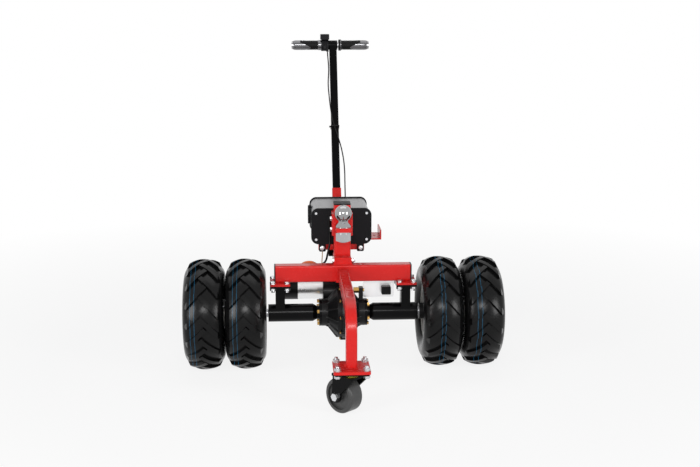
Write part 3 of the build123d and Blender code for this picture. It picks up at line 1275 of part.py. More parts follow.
# Rear spine with its welded riser, and the battery tray on top
with BuildPart() as rear_spine:
    with BuildSketch(xz(SPINE_REAR_Y)):
        with Locations((0, BEAM_TOP_Z - SPINE_HEIGHT / 2)):
            tube_section(SPINE_WIDTH, SPINE_HEIGHT, SPINE_WALL, FRAME_RADIUS)
    extrude(amount=SPINE_REAR_Y - BEAM_REAR_Y)
    with BuildSketch(xy(BEAM_TOP_Z)):
        with Locations((RISER_X, RISER_Y)):
            tube_section(RISER_WIDTH, RISER_DEPTH, SPINE_WALL, FRAME_RADIUS)
    extrude(amount=TRAY_BOTTOM_Z - BEAM_TOP_Z)
write(rear_spine, "rear_spine")

with BuildPart() as battery_tray:
    with BuildSketch(xy(TRAY_BOTTOM_Z)):
        with Locations((0, (CASE_FRONT_Y + CASE_REAR_Y) / 2)):
            Rectangle(TRAY_WIDTH, CASE_LENGTH)
    extrude(amount=TRAY_THICKNESS)
    with BuildSketch(xz(CASE_FRONT_Y)):
        with Locations((0, TRAY_BOTTOM_Z - TRAY_LIP / 2)):
            Rectangle(TRAY_WIDTH, TRAY_LIP)
        with Locations(*[(side * EAR_X, COVER_BOTTOM_Z - EAR_DROP / 2) for side in (-1, 1)]):
            Circle((EAR_BOLT_DIA + HOLE_GAP) / 2, mode=Mode.SUBTRACT)
    extrude(amount=-TRAY_THICKNESS)
write(battery_tray, "battery_tray")

# Battery case: an extruded sleeve between two screwed covers
COVER_WIDTH = CASE_WIDTH + 2 * COVER_OVERHANG
COVER_HEIGHT = CASE_HEIGHT + 2 * COVER_OVERHANG
SCREWS = [
    (dx * (COVER_WIDTH / 2 - COVER_SCREW_INSET), CASE_Z + dz * (COVER_HEIGHT / 2 - COVER_SCREW_INSET))
    for dx in (-1, 1)
    for dz in (-1, 1)
]
EARS = [(side * EAR_X, COVER_BOTTOM_Z - EAR_DROP / 2) for side in (-1, 1)]
GLAND_XZ = (-37.5, CASE_TOP_Z - 9)
OUTLET_HEIGHT = 14.0
with BuildPart() as battery_case:
    with BuildSketch(xz(CASE_REAR_Y)):
        with Locations((0, CASE_Z)):
            tube_section(CASE_WIDTH, CASE_HEIGHT, CASE_WALL, CASE_RADIUS)
        with Locations(*SCREWS):
            Circle(COVER_SCREW_DIA * 1.4)
        with Locations(*SCREWS):
            Circle(COVER_SCREW_DIA / 2 + RUNNING_GAP, mode=Mode.SUBTRACT)
    extrude(amount=CASE_LENGTH)
    with BuildSketch(yz(-CASE_WIDTH / 2)):
        with Locations((PORT_Y, PORT_Z)):
            Circle(PORT_DIA / 3)
    extrude(amount=CASE_WALL, mode=Mode.SUBTRACT)
write(battery_case, "battery_case")

with BuildPart() as front_cover:
    with BuildSketch(xz(CASE_FRONT_Y)):
        with Locations((0, CASE_Z)):
            RectangleRounded(COVER_WIDTH, COVER_HEIGHT, CASE_RADIUS + COVER_OVERHANG)
        with Locations(*[(side * EAR_X, COVER_BOTTOM_Z - EAR_DROP / 2 + 4) for side in (-1, 1)]):
            RectangleRounded(EAR_WIDTH, EAR_DROP + 8, 4)
        with Locations(*SCREWS):
            Circle(COVER_SCREW_DIA / 2 + RUNNING_GAP, mode=Mode.SUBTRACT)
        with Locations(*EARS):
            Circle((EAR_BOLT_DIA + HOLE_GAP) / 2, mode=Mode.SUBTRACT)
    extrude(amount=COVER_THICKNESS)
    fillet(front_cover.faces().sort_by(Axis.Y)[0].outer_wire().edges(), radius=1.5)
    with BuildSketch(xz(COVER_FRONT_Y)):
        with Locations(GLAND_XZ):
            RectangleRounded(2 * HARNESS_DIA, OUTLET_HEIGHT, 2)
    extrude(amount=2 * HARNESS_DIA)
write(front_cover, "battery_front_cover")

THROTTLE_GLAND_XZ = (26.0, CASE_TOP_Z - 24)
with BuildPart() as rear_cover:
    with BuildSketch(xz(COVER_REAR_Y)):
        with Locations((0, CASE_Z)):
            RectangleRounded(COVER_WIDTH, COVER_HEIGHT, CASE_RADIUS + COVER_OVERHANG)
        with Locations(*SCREWS):
            Circle(COVER_SCREW_DIA / 2 + RUNNING_GAP, mode=Mode.SUBTRACT)
    extrude(amount=COVER_THICKNESS)
    fillet(rear_cover.faces().sort_by(Axis.Y)[-1].outer_wire().edges(), radius=1.5)
    with BuildSketch(xz(COVER_REAR_Y)):
        with Locations(THROTTLE_GLAND_XZ):
            Circle(THROTTLE_CABLE_DIA)
    extrude(amount=-6)
write(rear_cover, "battery_rear_cover")

# Cover screws and the domed bolts of the cover ears
with BuildPart() as case_fasteners:
    for face_y, out in ((COVER_FRONT_Y, 1), (COVER_REAR_Y, -1)):
        with BuildSketch(xz(face_y)):
            with Locations(*SCREWS):
                Circle(COVER_SCREW_DIA * 0.75)
        extrude(amount=out * COVER_SCREW_DIA * 0.5)
        with BuildSketch(xz(face_y)):
            with Locations(*SCREWS):
                Circle(COVER_SCREW_DIA / 2)
        extrude(amount=-out * (COVER_THICKNESS + 2 * COVER_SCREW_DIA))
    with BuildSketch(xz(COVER_FRONT_Y)):
        with Locations(*EARS):
            Circle(EAR_BOLT_DIA)
    domes = extrude(amount=EAR_BOLT_DIA * 0.6)
    fillet(domes.faces().sort_by(Axis.Y)[:2].edges(), radius=EAR_BOLT_DIA * 0.55)
    with BuildSketch(xz(COVER_FRONT_Y)):
        with Locations(*EARS):
            Circle(EAR_BOLT_DIA / 2)
    extrude(amount=-(COVER_THICKNESS + TRAY_THICKNESS + EAR_BOLT_DIA))
    with BuildSketch(xz(CASE_FRONT_Y + TRAY_THICKNESS)):
        with Locations(*EARS):
            hexagon(EAR_BOLT_DIA)
            Circle(EAR_BOLT_DIA / 2 + RUNNING_GAP, mode=Mode.SUBTRACT)
    extrude(amount=-EAR_BOLT_DIA * NUT_SHARE)
write(case_fasteners, "case_fasteners")

# Inside the case: upright battery cells and the motor controller on the floor behind them
CELL_PITCH = CELL_DIA + CELL_GAP
CELL_Y = CASE_FRONT_Y + 8 + CELL_PITCH * CELL_ROWS / 2
with BuildPart() as battery_cells:
    with BuildSketch(xy(CASE_BOTTOM_Z + CASE_WALL)):
        with Locations((0, CELL_Y)):
            with GridLocations(CELL_PITCH, CELL_PITCH, CELL_COLUMNS, CELL_ROWS):
                Circle(CELL_DIA / 2)
    extrude(amount=CELL_LENGTH)
write(battery_cells, "battery_cells")

CONTROLLER_Y = CASE_REAR_Y - 8 - CONTROLLER_LENGTH / 2
with BuildPart() as motor_controller:
    with BuildSketch(xy(CASE_BOTTOM_Z + CASE_WALL)):
        with Locations((0, CONTROLLER_Y)):
            Rectangle(CASE_WIDTH - 40, CONTROLLER_LENGTH)
    extrude(amount=CONTROLLER_HEIGHT)
    with BuildSketch(xy(CASE_BOTTOM_Z + CASE_WALL + CONTROLLER_HEIGHT)):
        with Locations((0, CONTROLLER_Y)):
            with GridLocations(12, 1, 10, 1):
                Rectangle(5, CONTROLLER_LENGTH)
    extrude(amount=-10, mode=Mode.SUBTRACT)
write(motor_controller, "motor_controller")

# Charge port on the left of the case, with its hinged cap
PORT_FACE_X = -CASE_WIDTH / 2 - PORT_FLANGE
PORT_HINGE_Z = PORT_Z + PORT_DIA / 2 + PORT_HINGE_DIA / 2
PORT_HINGE_XZ = (PORT_FACE_X - PORT_GAP, PORT_HINGE_Z)


def hinge_rod(width, diameter, mode=Mode.ADD):
    """A rod on the cap's hinge axis, centred on the port."""
    with BuildSketch(xz(PORT_Y + width / 2)) as disc:
        with Locations(PORT_HINGE_XZ):
            Circle(diameter / 2)
    extrude(disc.sketch, amount=width, mode=mode)


with BuildPart() as charge_port:
    with BuildSketch(yz(-CASE_WIDTH / 2)):
        with Locations((PORT_Y, PORT_Z)):
            Circle(PORT_DIA / 2)
        with Locations((PORT_Y, PORT_HINGE_Z - 3)):
            Rectangle(PORT_HINGE_WIDTH, 8)
        with Locations((PORT_Y, PORT_Z)):
            Circle(PORT_DIA / 3 - 5, mode=Mode.SUBTRACT)
    extrude(amount=-PORT_FLANGE)
    with BuildSketch(yz(-CASE_WIDTH / 2)):
        with Locations((PORT_Y, PORT_Z)):
            Circle(PORT_DIA / 3 - RUNNING_GAP)
    extrude(amount=CASE_WALL)
    with BuildSketch(yz(-CASE_WIDTH / 2 + CASE_WALL)):
        with Locations((PORT_Y, PORT_Z)):
            Circle(PORT_DIA / 3 - RUNNING_GAP)
            Circle(PORT_DIA / 3 - 5, mode=Mode.SUBTRACT)
    extrude(amount=14)
    hinge_rod(PORT_HINGE_WIDTH, PORT_HINGE_DIA)
    hinge_rod(PORT_BARREL + 2 * PORT_GAP, PORT_HINGE_DIA + 2 * PORT_GAP, Mode.SUBTRACT)
    hinge_rod(PORT_HINGE_WIDTH, PORT_PIN_DIA + 2 * RUNNING_GAP, Mode.SUBTRACT)
write(charge_port, "charge_port")

with BuildPart() as charge_cap:
    with BuildSketch(yz(PORT_FACE_X - PORT_GAP)):
        with Locations((PORT_Y, PORT_Z)):
            Circle(PORT_DIA / 2 - 1)
        with Locations((PORT_Y, PORT_HINGE_Z - 5)):
            Rectangle(PORT_BARREL, 10)
    extrude(amount=PORT_GAP - PORT_CAP)
    with BuildSketch(yz(PORT_FACE_X - PORT_GAP)):
        with Locations((PORT_Y, PORT_Z)):
            Circle(PORT_DIA / 3 - 6)
    extrude(amount=2)
    hinge_rod(PORT_BARREL, PORT_HINGE_DIA)
    hinge_rod(PORT_HINGE_WIDTH, PORT_PIN_DIA)
write(charge_cap, "charge_port_cap")

# Side bracket on the right of the case, an open channel with one fixing hole
with BuildPart() as side_bracket:
    with BuildSketch(xz(BRACKET_Y + BRACKET_LENGTH / 2)):
        with Locations((CASE_WIDTH / 2 + BRACKET_WIDTH / 2, BRACKET_Z + BRACKET_HEIGHT / 2)):
            Rectangle(BRACKET_WIDTH, BRACKET_HEIGHT)
            with Locations((0, BRACKET_SHEET / 2)):
                Rectangle(
                    BRACKET_WIDTH - 2 * BRACKET_SHEET, BRACKET_HEIGHT - BRACKET_SHEET, mode=Mode.SUBTRACT
                )
    extrude(amount=BRACKET_LENGTH)
    with BuildSketch(xy(BRACKET_Z)):
        with Locations((CASE_WIDTH / 2 + BRACKET_WIDTH / 2, BRACKET_Y)):
            Circle(BRACKET_HOLE_DIA / 2)
    extrude(amount=BRACKET_SHEET, mode=Mode.SUBTRACT)
write(side_bracket, "side_bracket")

# Handle socket and stem
SOCKET_SIZE = STEM_SIZE + 2 * (SOCKET_WALL + STEM_GAP)
SOCKET_LENGTH = (SOCKET_TOP_Z - BEAM_TOP_Z) / cos(radians(RAKE))
with BuildPart() as stem_socket:
    with BuildSketch(STEM_PLANE.offset(-SOCKET_SIZE)):
        RectangleRounded(SOCKET_SIZE, SOCKET_SIZE, 3)
        Rectangle(STEM_SIZE + 2 * STEM_GAP, STEM_SIZE + 2 * STEM_GAP, mode=Mode.SUBTRACT)
    extrude(amount=SOCKET_SIZE + SOCKET_LENGTH)
    split(bisect_by=xy(BEAM_TOP_Z), keep=Keep.TOP)
write(stem_socket, "stem_socket")

HEAD_R = BAR_DIA / 2 + HEAD_WALL
STEM_START = STEM_SIZE
with BuildPart() as handle_stem:
    with BuildSketch(STEM_PLANE.offset(STEM_START)):
        RectangleRounded(STEM_SIZE, STEM_SIZE, 3)
        Rectangle(STEM_SIZE - 2 * STEM_WALL, STEM_SIZE - 2 * STEM_WALL, mode=Mode.SUBTRACT)
    extrude(amount=STEM_LENGTH - STEM_START)
    with BuildSketch(yz(-HEAD_WIDTH / 2)):
        with Locations((BAR_Y, BAR_Z)):
            Circle(HEAD_R)
    extrude(amount=HEAD_WIDTH)
    with BuildSketch(yz(-HEAD_WIDTH / 2)):
        with Locations((BAR_Y, BAR_Z)):
            Circle(BAR_DIA / 2)
    extrude(amount=HEAD_WIDTH, mode=Mode.SUBTRACT)
write(handle_stem, "handle_stem")

def bar_sleeve(start, end, outer, inner):
    """A round sleeve on the handlebar between two places along it."""
    with BuildSketch(yz(start)) as ring:
        with Locations((BAR_Y, BAR_Z)):
            Circle(outer)
            Circle(inner, mode=Mode.SUBTRACT)
    extrude(ring.sketch, amount=end - start)


# Handlebar with bright end plugs, wider than the bar
with BuildPart() as handlebar:
    bar_sleeve(-BAR_LEFT, BAR_RIGHT, BAR_DIA / 2, BAR_DIA / 2 - BAR_WALL)
    for end, out in ((-BAR_LEFT, -1), (BAR_RIGHT, 1)):
        bar_sleeve(end - out * GRIP_TIP, end, GRIP_DIA / 2 - 2, BAR_DIA / 2 - BAR_WALL)
        with BuildSketch(yz(end)):
            with Locations((BAR_Y, BAR_Z)):
                Circle(GRIP_DIA / 2 - 2)
        extrude(amount=out * GRIP_TIP_WALL, taper=20)
write(handlebar, "handlebar")

# Right hand end: the plain grip
GRIP_START = HEAD_WIDTH / 2 + 4
with BuildPart() as plain_grip:
    bar_sleeve(GRIP_START, GRIP_START + 8, GRIP_FLANGE_DIA / 2, BAR_DIA / 2)
    bar_sleeve(GRIP_START + 8, BAR_RIGHT - GRIP_TIP, GRIP_DIA / 2, BAR_DIA / 2)
write(plain_grip, "plain_grip")

# Left hand end: the throttle housing with its collar, and the twist grip
THROTTLE_OUTER_X = THROTTLE_INNER_X - THROTTLE_WIDTH
COLLAR_X = THROTTLE_OUTER_X - COLLAR_WIDTH
TWIST_X = COLLAR_X - 0.5
TWIST_BORE = BAR_DIA / 2 + RUNNING_GAP
SWITCH_X = (THROTTLE_OUTER_X + THROTTLE_INNER_X) / 2
SWITCH_Y = BAR_Y - THROTTLE_DIA / 2
SWITCH_Z = BAR_Z - 2


def switch_rod(length, radius, mode=Mode.ADD):
    """A rod on the rocker's pivot, centred on the switch."""
    with BuildSketch(yz(SWITCH_X - length / 2)) as disc:
        with Locations((SWITCH_Y + 3, SWITCH_Z)):
            Circle(radius)
    extrude(disc.sketch, amount=length, mode=mode)


with BuildPart() as throttle_housing:
    bar_sleeve(COLLAR_X, THROTTLE_OUTER_X, GRIP_DIA / 2 + 1, BAR_DIA / 2)
    bar_sleeve(THROTTLE_OUTER_X, THROTTLE_INNER_X - 0.2, THROTTLE_DIA / 2, BAR_DIA / 2)
    with BuildSketch(xy(BAR_Z)):
        with Locations((THROTTLE_INNER_X - THROTTLE_CABLE_DIA, BAR_Y - THROTTLE_DIA / 2 + 4)):
            Circle(THROTTLE_CABLE_DIA)
    extrude(amount=-THROTTLE_DIA / 2 - 2)
    with BuildSketch(yz(THROTTLE_OUTER_X)):
        with Locations((BAR_Y, BAR_Z)):
            Circle(BAR_DIA / 2)
    extrude(amount=THROTTLE_WIDTH, mode=Mode.SUBTRACT)
    with BuildSketch(xz(SWITCH_Y + 6)):
        with Locations((SWITCH_X, SWITCH_Z)):
            Rectangle(SWITCH_WIDTH + 1, SWITCH_LENGTH + 1)
    extrude(amount=12, mode=Mode.SUBTRACT)
    switch_rod(SWITCH_WIDTH + 1 + 2 * SWITCH_PIN, SWITCH_PIN_DIA / 2 + RUNNING_GAP, Mode.SUBTRACT)
write(throttle_housing, "throttle_housing")

with BuildPart() as direction_switch:
    with BuildSketch(yz(SWITCH_X - SWITCH_WIDTH / 2)):
        with BuildLine():
            ThreePointArc(
                (SWITCH_Y + 1, SWITCH_Z - SWITCH_LENGTH / 2 + 1),
                (SWITCH_Y + 5.6, SWITCH_Z),
                (SWITCH_Y + 1, SWITCH_Z + SWITCH_LENGTH / 2 - 1),
            )
            Polyline(
                (SWITCH_Y + 1, SWITCH_Z + SWITCH_LENGTH / 2 - 1),
                (SWITCH_Y - 3, SWITCH_Z + SWITCH_LENGTH / 2 - 1),
                (SWITCH_Y - 1, SWITCH_Z),
                (SWITCH_Y - 3, SWITCH_Z - SWITCH_LENGTH / 2 + 1),
                (SWITCH_Y + 1, SWITCH_Z - SWITCH_LENGTH / 2 + 1),
            )
        make_face()
    extrude(amount=SWITCH_WIDTH)
    switch_rod(SWITCH_WIDTH + 2 * SWITCH_PIN, SWITCH_PIN_DIA / 2)
write(direction_switch, "direction_switch")

with BuildPart() as twist_grip:
    bar_sleeve(GRIP_TIP - BAR_LEFT + 0.5, TWIST_X, GRIP_DIA / 2, TWIST_BORE)
write(twist_grip, "twist_grip")

# Battery gauge on top of the throttle housing
GAUGE_Z = BAR_Z + THROTTLE_DIA / 2 - 1
GAUGE_X = SWITCH_X
with BuildPart() as gauge:
    with BuildSketch(xy(GAUGE_Z)):
        with Locations((GAUGE_X, BAR_Y)):
            RectangleRounded(GAUGE_WIDTH, GAUGE_DEPTH, 4)
    extrude(amount=GAUGE_HEIGHT)
    fillet(gauge.faces().sort_by(Axis.Z)[-1].edges(), radius=2)
    with BuildSketch(yz(GAUGE_X - GAUGE_WIDTH)):
        with Locations((BAR_Y, BAR_Z)):
            Circle(THROTTLE_DIA / 2)
    extrude(amount=2 * GAUGE_WIDTH, mode=Mode.SUBTRACT)
    with BuildSketch(xz(BAR_Y + GAUGE_DEPTH / 2)):
        with Locations((GAUGE_X, GAUGE_Z + GAUGE_HEIGHT / 2 + 1)):
            RectangleRounded(GAUGE_WIDTH - 8, GAUGE_HEIGHT - 8, 2)
    extrude(amount=1.5, mode=Mode.SUBTRACT)
write(gauge, "battery_gauge")

# Lead plate behind the beam with the plug block on it
PLATE_FACE_Y = BEAM_REAR_Y
with BuildPart() as lead_plate:
    with BuildSketch(xz(PLATE_FACE_Y)):
        with Locations(
            (
                (LEAD_PLATE_LEFT_X + LEAD_PLATE_RIGHT_X) / 2,
                BEAM_BOTTOM_Z + BEAM_HEIGHT / 4 - LEAD_PLATE_DROP / 2,
            )
        ):
            RectangleRounded(
                LEAD_PLATE_RIGHT_X - LEAD_PLATE_LEFT_X, LEAD_PLATE_DROP + BEAM_HEIGHT / 2, 6
            )
    extrude(amount=-LEAD_PLATE)
    with BuildSketch(xz(PLATE_FACE_Y)):
        with Locations((PLUG_X, PLUG_Z)):
            RectangleRounded(PLUG_WIDTH, PLUG_HEIGHT, 3)
    extrude(amount=PLUG_DEPTH)
write(lead_plate, "lead_plate")

# Cables: throttle cable down the stem, harness, motor lead and earth wire
STEM_FRONT = STEM_SIZE / 2 + THROTTLE_CABLE_DIA / 2 + 0.5


def beside_stem(x, ahead, along):
    """A place near the stem: across, ahead of its axis and along it from the foot."""
    spot = STEM_PLANE.from_local_coords((x, -ahead, along))
    return (spot.X, spot.Y, spot.Z)


throttle_route = [
    (THROTTLE_INNER_X - THROTTLE_CABLE_DIA, BAR_Y - THROTTLE_DIA / 2 + 4, BAR_Z - THROTTLE_DIA / 2 - 4.0),
    beside_stem(-19.0, STEM_FRONT + 6, 652),
    beside_stem(-16.0, STEM_FRONT + 2, 606),
    beside_stem(-20.5, STEM_FRONT + 3, 556),
    beside_stem(-17.5, STEM_FRONT + 1, 508),
    beside_stem(-13.0, STEM_FRONT, 458),
    beside_stem(-5.0, STEM_FRONT, 412),
    beside_stem(8.0, STEM_FRONT, 368),
    beside_stem(19.0, STEM_FRONT + 2, 324),
    beside_stem(26.0, STEM_FRONT + 4, 278),
    beside_stem(27.5, STEM_FRONT + 10, 234),
    beside_stem(26.0, STEM_FRONT + 27, 196),
    (THROTTLE_GLAND_XZ[0], COVER_REAR_Y + 38, THROTTLE_GLAND_XZ[1]),
    (THROTTLE_GLAND_XZ[0], COVER_REAR_Y + 6, THROTTLE_GLAND_XZ[1]),
]
cable(throttle_route, THROTTLE_CABLE_DIA, "throttle_cable")

MOTOR_TOP_Z = MOTOR_YZ[1] + MOTOR_DIA / 2
OUTLET_Y = COVER_FRONT_Y - HARNESS_DIA
OUTLET_Z = GLAND_XZ[1] - OUTLET_HEIGHT / 2
harness_route = [
    (GLAND_XZ[0], OUTLET_Y, OUTLET_Z),
    (GLAND_XZ[0], OUTLET_Y, OUTLET_Z - 24),
    (GLAND_XZ[0] + 1.5, OUTLET_Y + 1, OUTLET_Z - 54),
    (GLAND_XZ[0] + 2.5, OUTLET_Y - 2, OUTLET_Z - 86),
    (GLAND_XZ[0] - 5, OUTLET_Y - 7, OUTLET_Z - 116),
    (GLAND_XZ[0] - 10, OUTLET_Y, OUTLET_Z - 144),
    (-66.0, MOTOR_YZ[0] - 2, MOTOR_TOP_Z + 4.2),
]
cable(harness_route, HARNESS_DIA, "harness_cable")

# Motor lead: an arch that stands square on the motor case
LEAD_SPAN = 53.5
LEAD_HEIGHT = 38.5
LEAD_LEAN = 32.0
LEAD_X = (MOTOR_FRONT_X + MOTOR_REAR_X) / 2 - 5
LEAD_ARCH = LEAD_SPAN / 2
LEAD_CORNER = LEAD_ARCH * tan(radians(22.5))


def above_motor(x, height):
    """A place over the motor case, leaned to the front."""
    reach = MOTOR_DIA / 2 + height
    lean = radians(LEAD_LEAN)
    return (LEAD_X + x, MOTOR_YZ[0] - reach * sin(lean), MOTOR_YZ[1] + reach * cos(lean))


lead_route = [
    above_motor(-LEAD_ARCH, 0.2),
    above_motor(-LEAD_ARCH, LEAD_HEIGHT - LEAD_ARCH + LEAD_CORNER),
    above_motor(-LEAD_CORNER, LEAD_HEIGHT),
    above_motor(LEAD_CORNER, LEAD_HEIGHT),
    above_motor(LEAD_ARCH, LEAD_HEIGHT - LEAD_ARCH + LEAD_CORNER),
    above_motor(LEAD_ARCH, 0.2),
]
cable(lead_route, LEAD_DIA, "motor_lead")

EARTH_TOP_Z = COVER_BOTTOM_Z - EAR_DROP - 0.6
EARTH_FOOT_Z = MOTOR_YZ[1] + 0.866 * MOTOR_DIA / 2 + 1.2
EARTH_DROP = EARTH_TOP_Z - EARTH_FOOT_Z
earth_route = [
    (-EAR_X, COVER_FRONT_Y + 3, EARTH_TOP_Z),
    (-EAR_X - 1, COVER_FRONT_Y, EARTH_TOP_Z - 0.36 * EARTH_DROP),
    (-EAR_X - 3, COVER_FRONT_Y - 6, EARTH_TOP_Z - 0.72 * EARTH_DROP),
    (-EAR_X - 4, MOTOR_YZ[0] - 25, EARTH_FOOT_Z),
]
cable(earth_route, EARTH_WIRE_DIA, "earth_wire")
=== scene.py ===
"""Looks of the electric trailer dolly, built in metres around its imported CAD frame."""

import logging
from dataclasses import dataclass
from enum import Enum
from math import ceil, cos, pi, radians, sin
from typing import Any, Iterable, Sequence

import bmesh
import bpy
from mathutils import Matrix, Vector


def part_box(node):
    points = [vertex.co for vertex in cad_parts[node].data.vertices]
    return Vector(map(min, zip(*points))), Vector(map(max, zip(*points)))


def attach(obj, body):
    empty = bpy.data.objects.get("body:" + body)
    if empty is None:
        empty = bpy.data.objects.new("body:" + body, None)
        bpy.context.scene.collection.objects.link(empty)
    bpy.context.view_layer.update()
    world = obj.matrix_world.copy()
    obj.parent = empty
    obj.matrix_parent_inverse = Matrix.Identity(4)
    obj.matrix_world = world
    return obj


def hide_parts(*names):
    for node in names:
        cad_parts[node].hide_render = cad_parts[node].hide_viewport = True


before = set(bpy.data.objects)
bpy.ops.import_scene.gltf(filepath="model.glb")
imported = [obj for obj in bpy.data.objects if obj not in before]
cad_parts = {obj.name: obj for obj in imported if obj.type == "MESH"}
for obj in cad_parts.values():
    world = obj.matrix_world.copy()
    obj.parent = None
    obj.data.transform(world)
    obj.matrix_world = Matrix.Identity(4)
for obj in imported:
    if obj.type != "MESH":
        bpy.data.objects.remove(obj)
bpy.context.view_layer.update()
LOG = logging.getLogger("dolly")

Point = tuple[float, float, float]
Colour = tuple[float, float, float]
Spot = tuple[float, float]
Ring = Sequence[bmesh.types.BMVert]

AXLE_Z = 0.165
BAR_Y = 0.63125
BAR_Z = 0.936
RAKE = radians(28.0)
STEM_FOOT = Vector((0.0, 0.300, 0.313))
STEM_UP = Vector((0.0, sin(RAKE), cos(RAKE)))
STEM_FRONT = Vector((0.0, -cos(RAKE), sin(RAKE)))

NOISE_ROUGHNESS = 0.55
PATCH_SIZE = 0.035
PATCH_SHARE = 0.7
PATCH_ROUGHNESS = 0.16
GRAIN_ROUGHNESS = 0.10
LEAST_ROUGHNESS = 0.04
COAT_ROUGHNESS = 0.06
SHARP_ANGLE = radians(38)
GRIP_SIDES = 48
WHITE = (1.0, 1.0, 1.0, 1.0)


class Sock:
    """A shader socket that takes part in Python expressions."""

    def __init__(self, graph: "Graph", socket: bpy.types.NodeSocket) -> None:
        """Keep the socket and the graph that it belongs to."""
        self.graph = graph
        self.socket = socket

    def _maths(self, operation: str, first: Any, second: Any = 0.0) -> "Sock":
        """Add one Math node.

        Args:
            operation: name of the Math operation.
            first: first value or socket.
            second: second value or socket.

        Returns:
            The node's value.
        """
        return self.graph.value("ShaderNodeMath", {"operation": operation}, {0: first, 1: second})

    def __add__(self, other: Any) -> "Sock":
        """Sum of this and another value."""
        return self._maths("ADD", self, other)

    __radd__ = __add__

    def __sub__(self, other: Any) -> "Sock":
        """This less another value."""
        return self._maths("SUBTRACT", self, other)

    def __rsub__(self, other: Any) -> "Sock":
        """Another value less this."""
        return self._maths("SUBTRACT", other, self)

    def __mul__(self, other: Any) -> "Sock":
        """Product of this and another value."""
        return self._maths("MULTIPLY", self, other)

    __rmul__ = __mul__

    def __truediv__(self, other: Any) -> "Sock":
        """This over another value."""
        return self._maths("DIVIDE", self, other)

    def __rtruediv__(self, other: Any) -> "Sock":
        """Another value over this."""
        return self._maths("DIVIDE", other, self)

    def __pow__(self, other: Any) -> "Sock":
        """This to a power."""
        return self._maths("POWER", self, other)

    def __lt__(self, other: Any) -> "Sock":
        """One where this is less than another value, else zero."""
        return self._maths("LESS_THAN", self, other)

    def __gt__(self, other: Any) -> "Sock":
        """One where this is more than another value, else zero."""
        return self._maths("GREATER_THAN", self, other)

    def __abs__(self) -> "Sock":
        """Size of this without its sign."""
        return self._maths("ABSOLUTE", self)

    def sine(self) -> "Sock":
        """Sine of this angle in radians."""
        return self._maths("SINE", self)

    def larger(self, other: Any) -> "Sock":
        """The larger of this and another value."""
        return self._maths("MAXIMUM", self, other)


class Graph:
    """The node tree of one material or of the world."""

    def __init__(self, owner: Any, output: str = "ShaderNodeOutputMaterial") -> None:
        """Clear the owner's node tree down to one output.

        Args:
            owner: the material or the world.
            output: type of its output node.
        """
        self.owner = owner
        owner.use_nodes = True
        self.tree = owner.node_tree
        self.tree.nodes.clear()
        self.output = self.tree.nodes.new(output)

    @classmethod
    def of_material(cls, name: str) -> "Graph":
        """Start an empty material of that name."""
        return cls(bpy.data.materials.new(name))

    def feed(self, socket: bpy.types.NodeSocket, value: Any) -> None:
        """Link a socket to another or set its own value.

        Args:
            socket: the input.
            value: a Sock to link, or a plain value.
        """
        if isinstance(value, Sock):
            self.tree.links.new(value.socket, socket)
        else:
            socket.default_value = value

    def node(
        self, kind: str, settings: dict[str, Any], inputs: dict[Any, Any]
    ) -> bpy.types.Node:
        """Add any node.

        Args:
            kind: the node's type.
            settings: its properties, which are set first.
            inputs: values or links of its sockets, by name or index.

        Returns:
            The new node.
        """
        made = self.tree.nodes.new(kind)
        for key, value in settings.items():
            setattr(made, key, value)
        for key, value in inputs.items():
            self.feed(made.inputs[key], value)
        return made

    def value(
        self, kind: str, settings: dict[str, Any], inputs: dict[Any, Any], output: Any = 0
    ) -> Sock:
        """Add any node and take one of its outputs, by name or index."""
        return Sock(self, self.node(kind, settings, inputs).outputs[output])

    def place(self) -> Sock:
        """Place on the piece, in metres, as a vector."""
        return self.value("ShaderNodeTexCoord", {}, {}, "Object")

    def axes(self) -> tuple[Sock, Sock, Sock]:
        """Place on the piece as three values."""
        split = self.node("ShaderNodeSeparateXYZ", {}, {0: self.place()})
        x, y, z = (Sock(self, output) for output in split.outputs)
        return x, y, z

    def shown(self) -> Sock:
        """One for camera, glossy and transmission rays, else zero."""
        rays = self.node("ShaderNodeLightPath", {}, {})
        seen = Sock(self, rays.outputs["Is Camera Ray"])
        for kind in ("Is Glossy Ray", "Is Transmission Ray"):
            seen = seen.larger(Sock(self, rays.outputs[kind]))
        return seen

    def noise(self, size: float, detail: float, stretch: Point = (1.0, 1.0, 1.0)) -> Sock:
        """Noise whose grains have a size in metres.

        Args:
            size: size of a grain.
            detail: number of finer layers.
            stretch: how many times longer a grain is along each axis.

        Returns:
            Values around one half.
        """
        scale = tuple(1.0 / (size * part) for part in stretch)
        spot = self.value("ShaderNodeMapping", {}, {"Vector": self.place(), "Scale": scale})
        return self.value(
            "ShaderNodeTexNoise",
            {},
            {"Vector": spot, "Scale": 1.0, "Detail": detail, "Roughness": NOISE_ROUGHNESS},
        )

    def blend(self, amount: Any, first: Any, second: Any) -> Sock:
        """Colour between two colours, by the amount of the second."""
        return self.value(
            "ShaderNodeMix",
            {"data_type": "RGBA"},
            {0: amount, 6: colour4(first), 7: colour4(second)},
            2,
        )

    def relief(self, height: Sock, depth: float) -> Sock:
        """Normal of a height between zero and one that stands for a depth in metres."""
        return self.value(
            "ShaderNodeBump", {}, {"Height": height, "Distance": depth, "Strength": 1.0}
        )

    def surface(self, inputs: dict[str, Any]) -> Sock:
        """A Principled shader with these inputs."""
        return self.value("ShaderNodeBsdfPrincipled", {}, inputs)

    def finish(self, shader: Sock) -> Any:
        """Send a shader to the output and return the material or the world."""
        self.tree.links.new(shader.socket, self.output.inputs["Surface"])
        return self.owner


def colour4(value: Any) -> Any:
    """A colour with its alpha, or a socket as it is."""
    return value if isinstance(value, Sock) else (*value, 1.0)


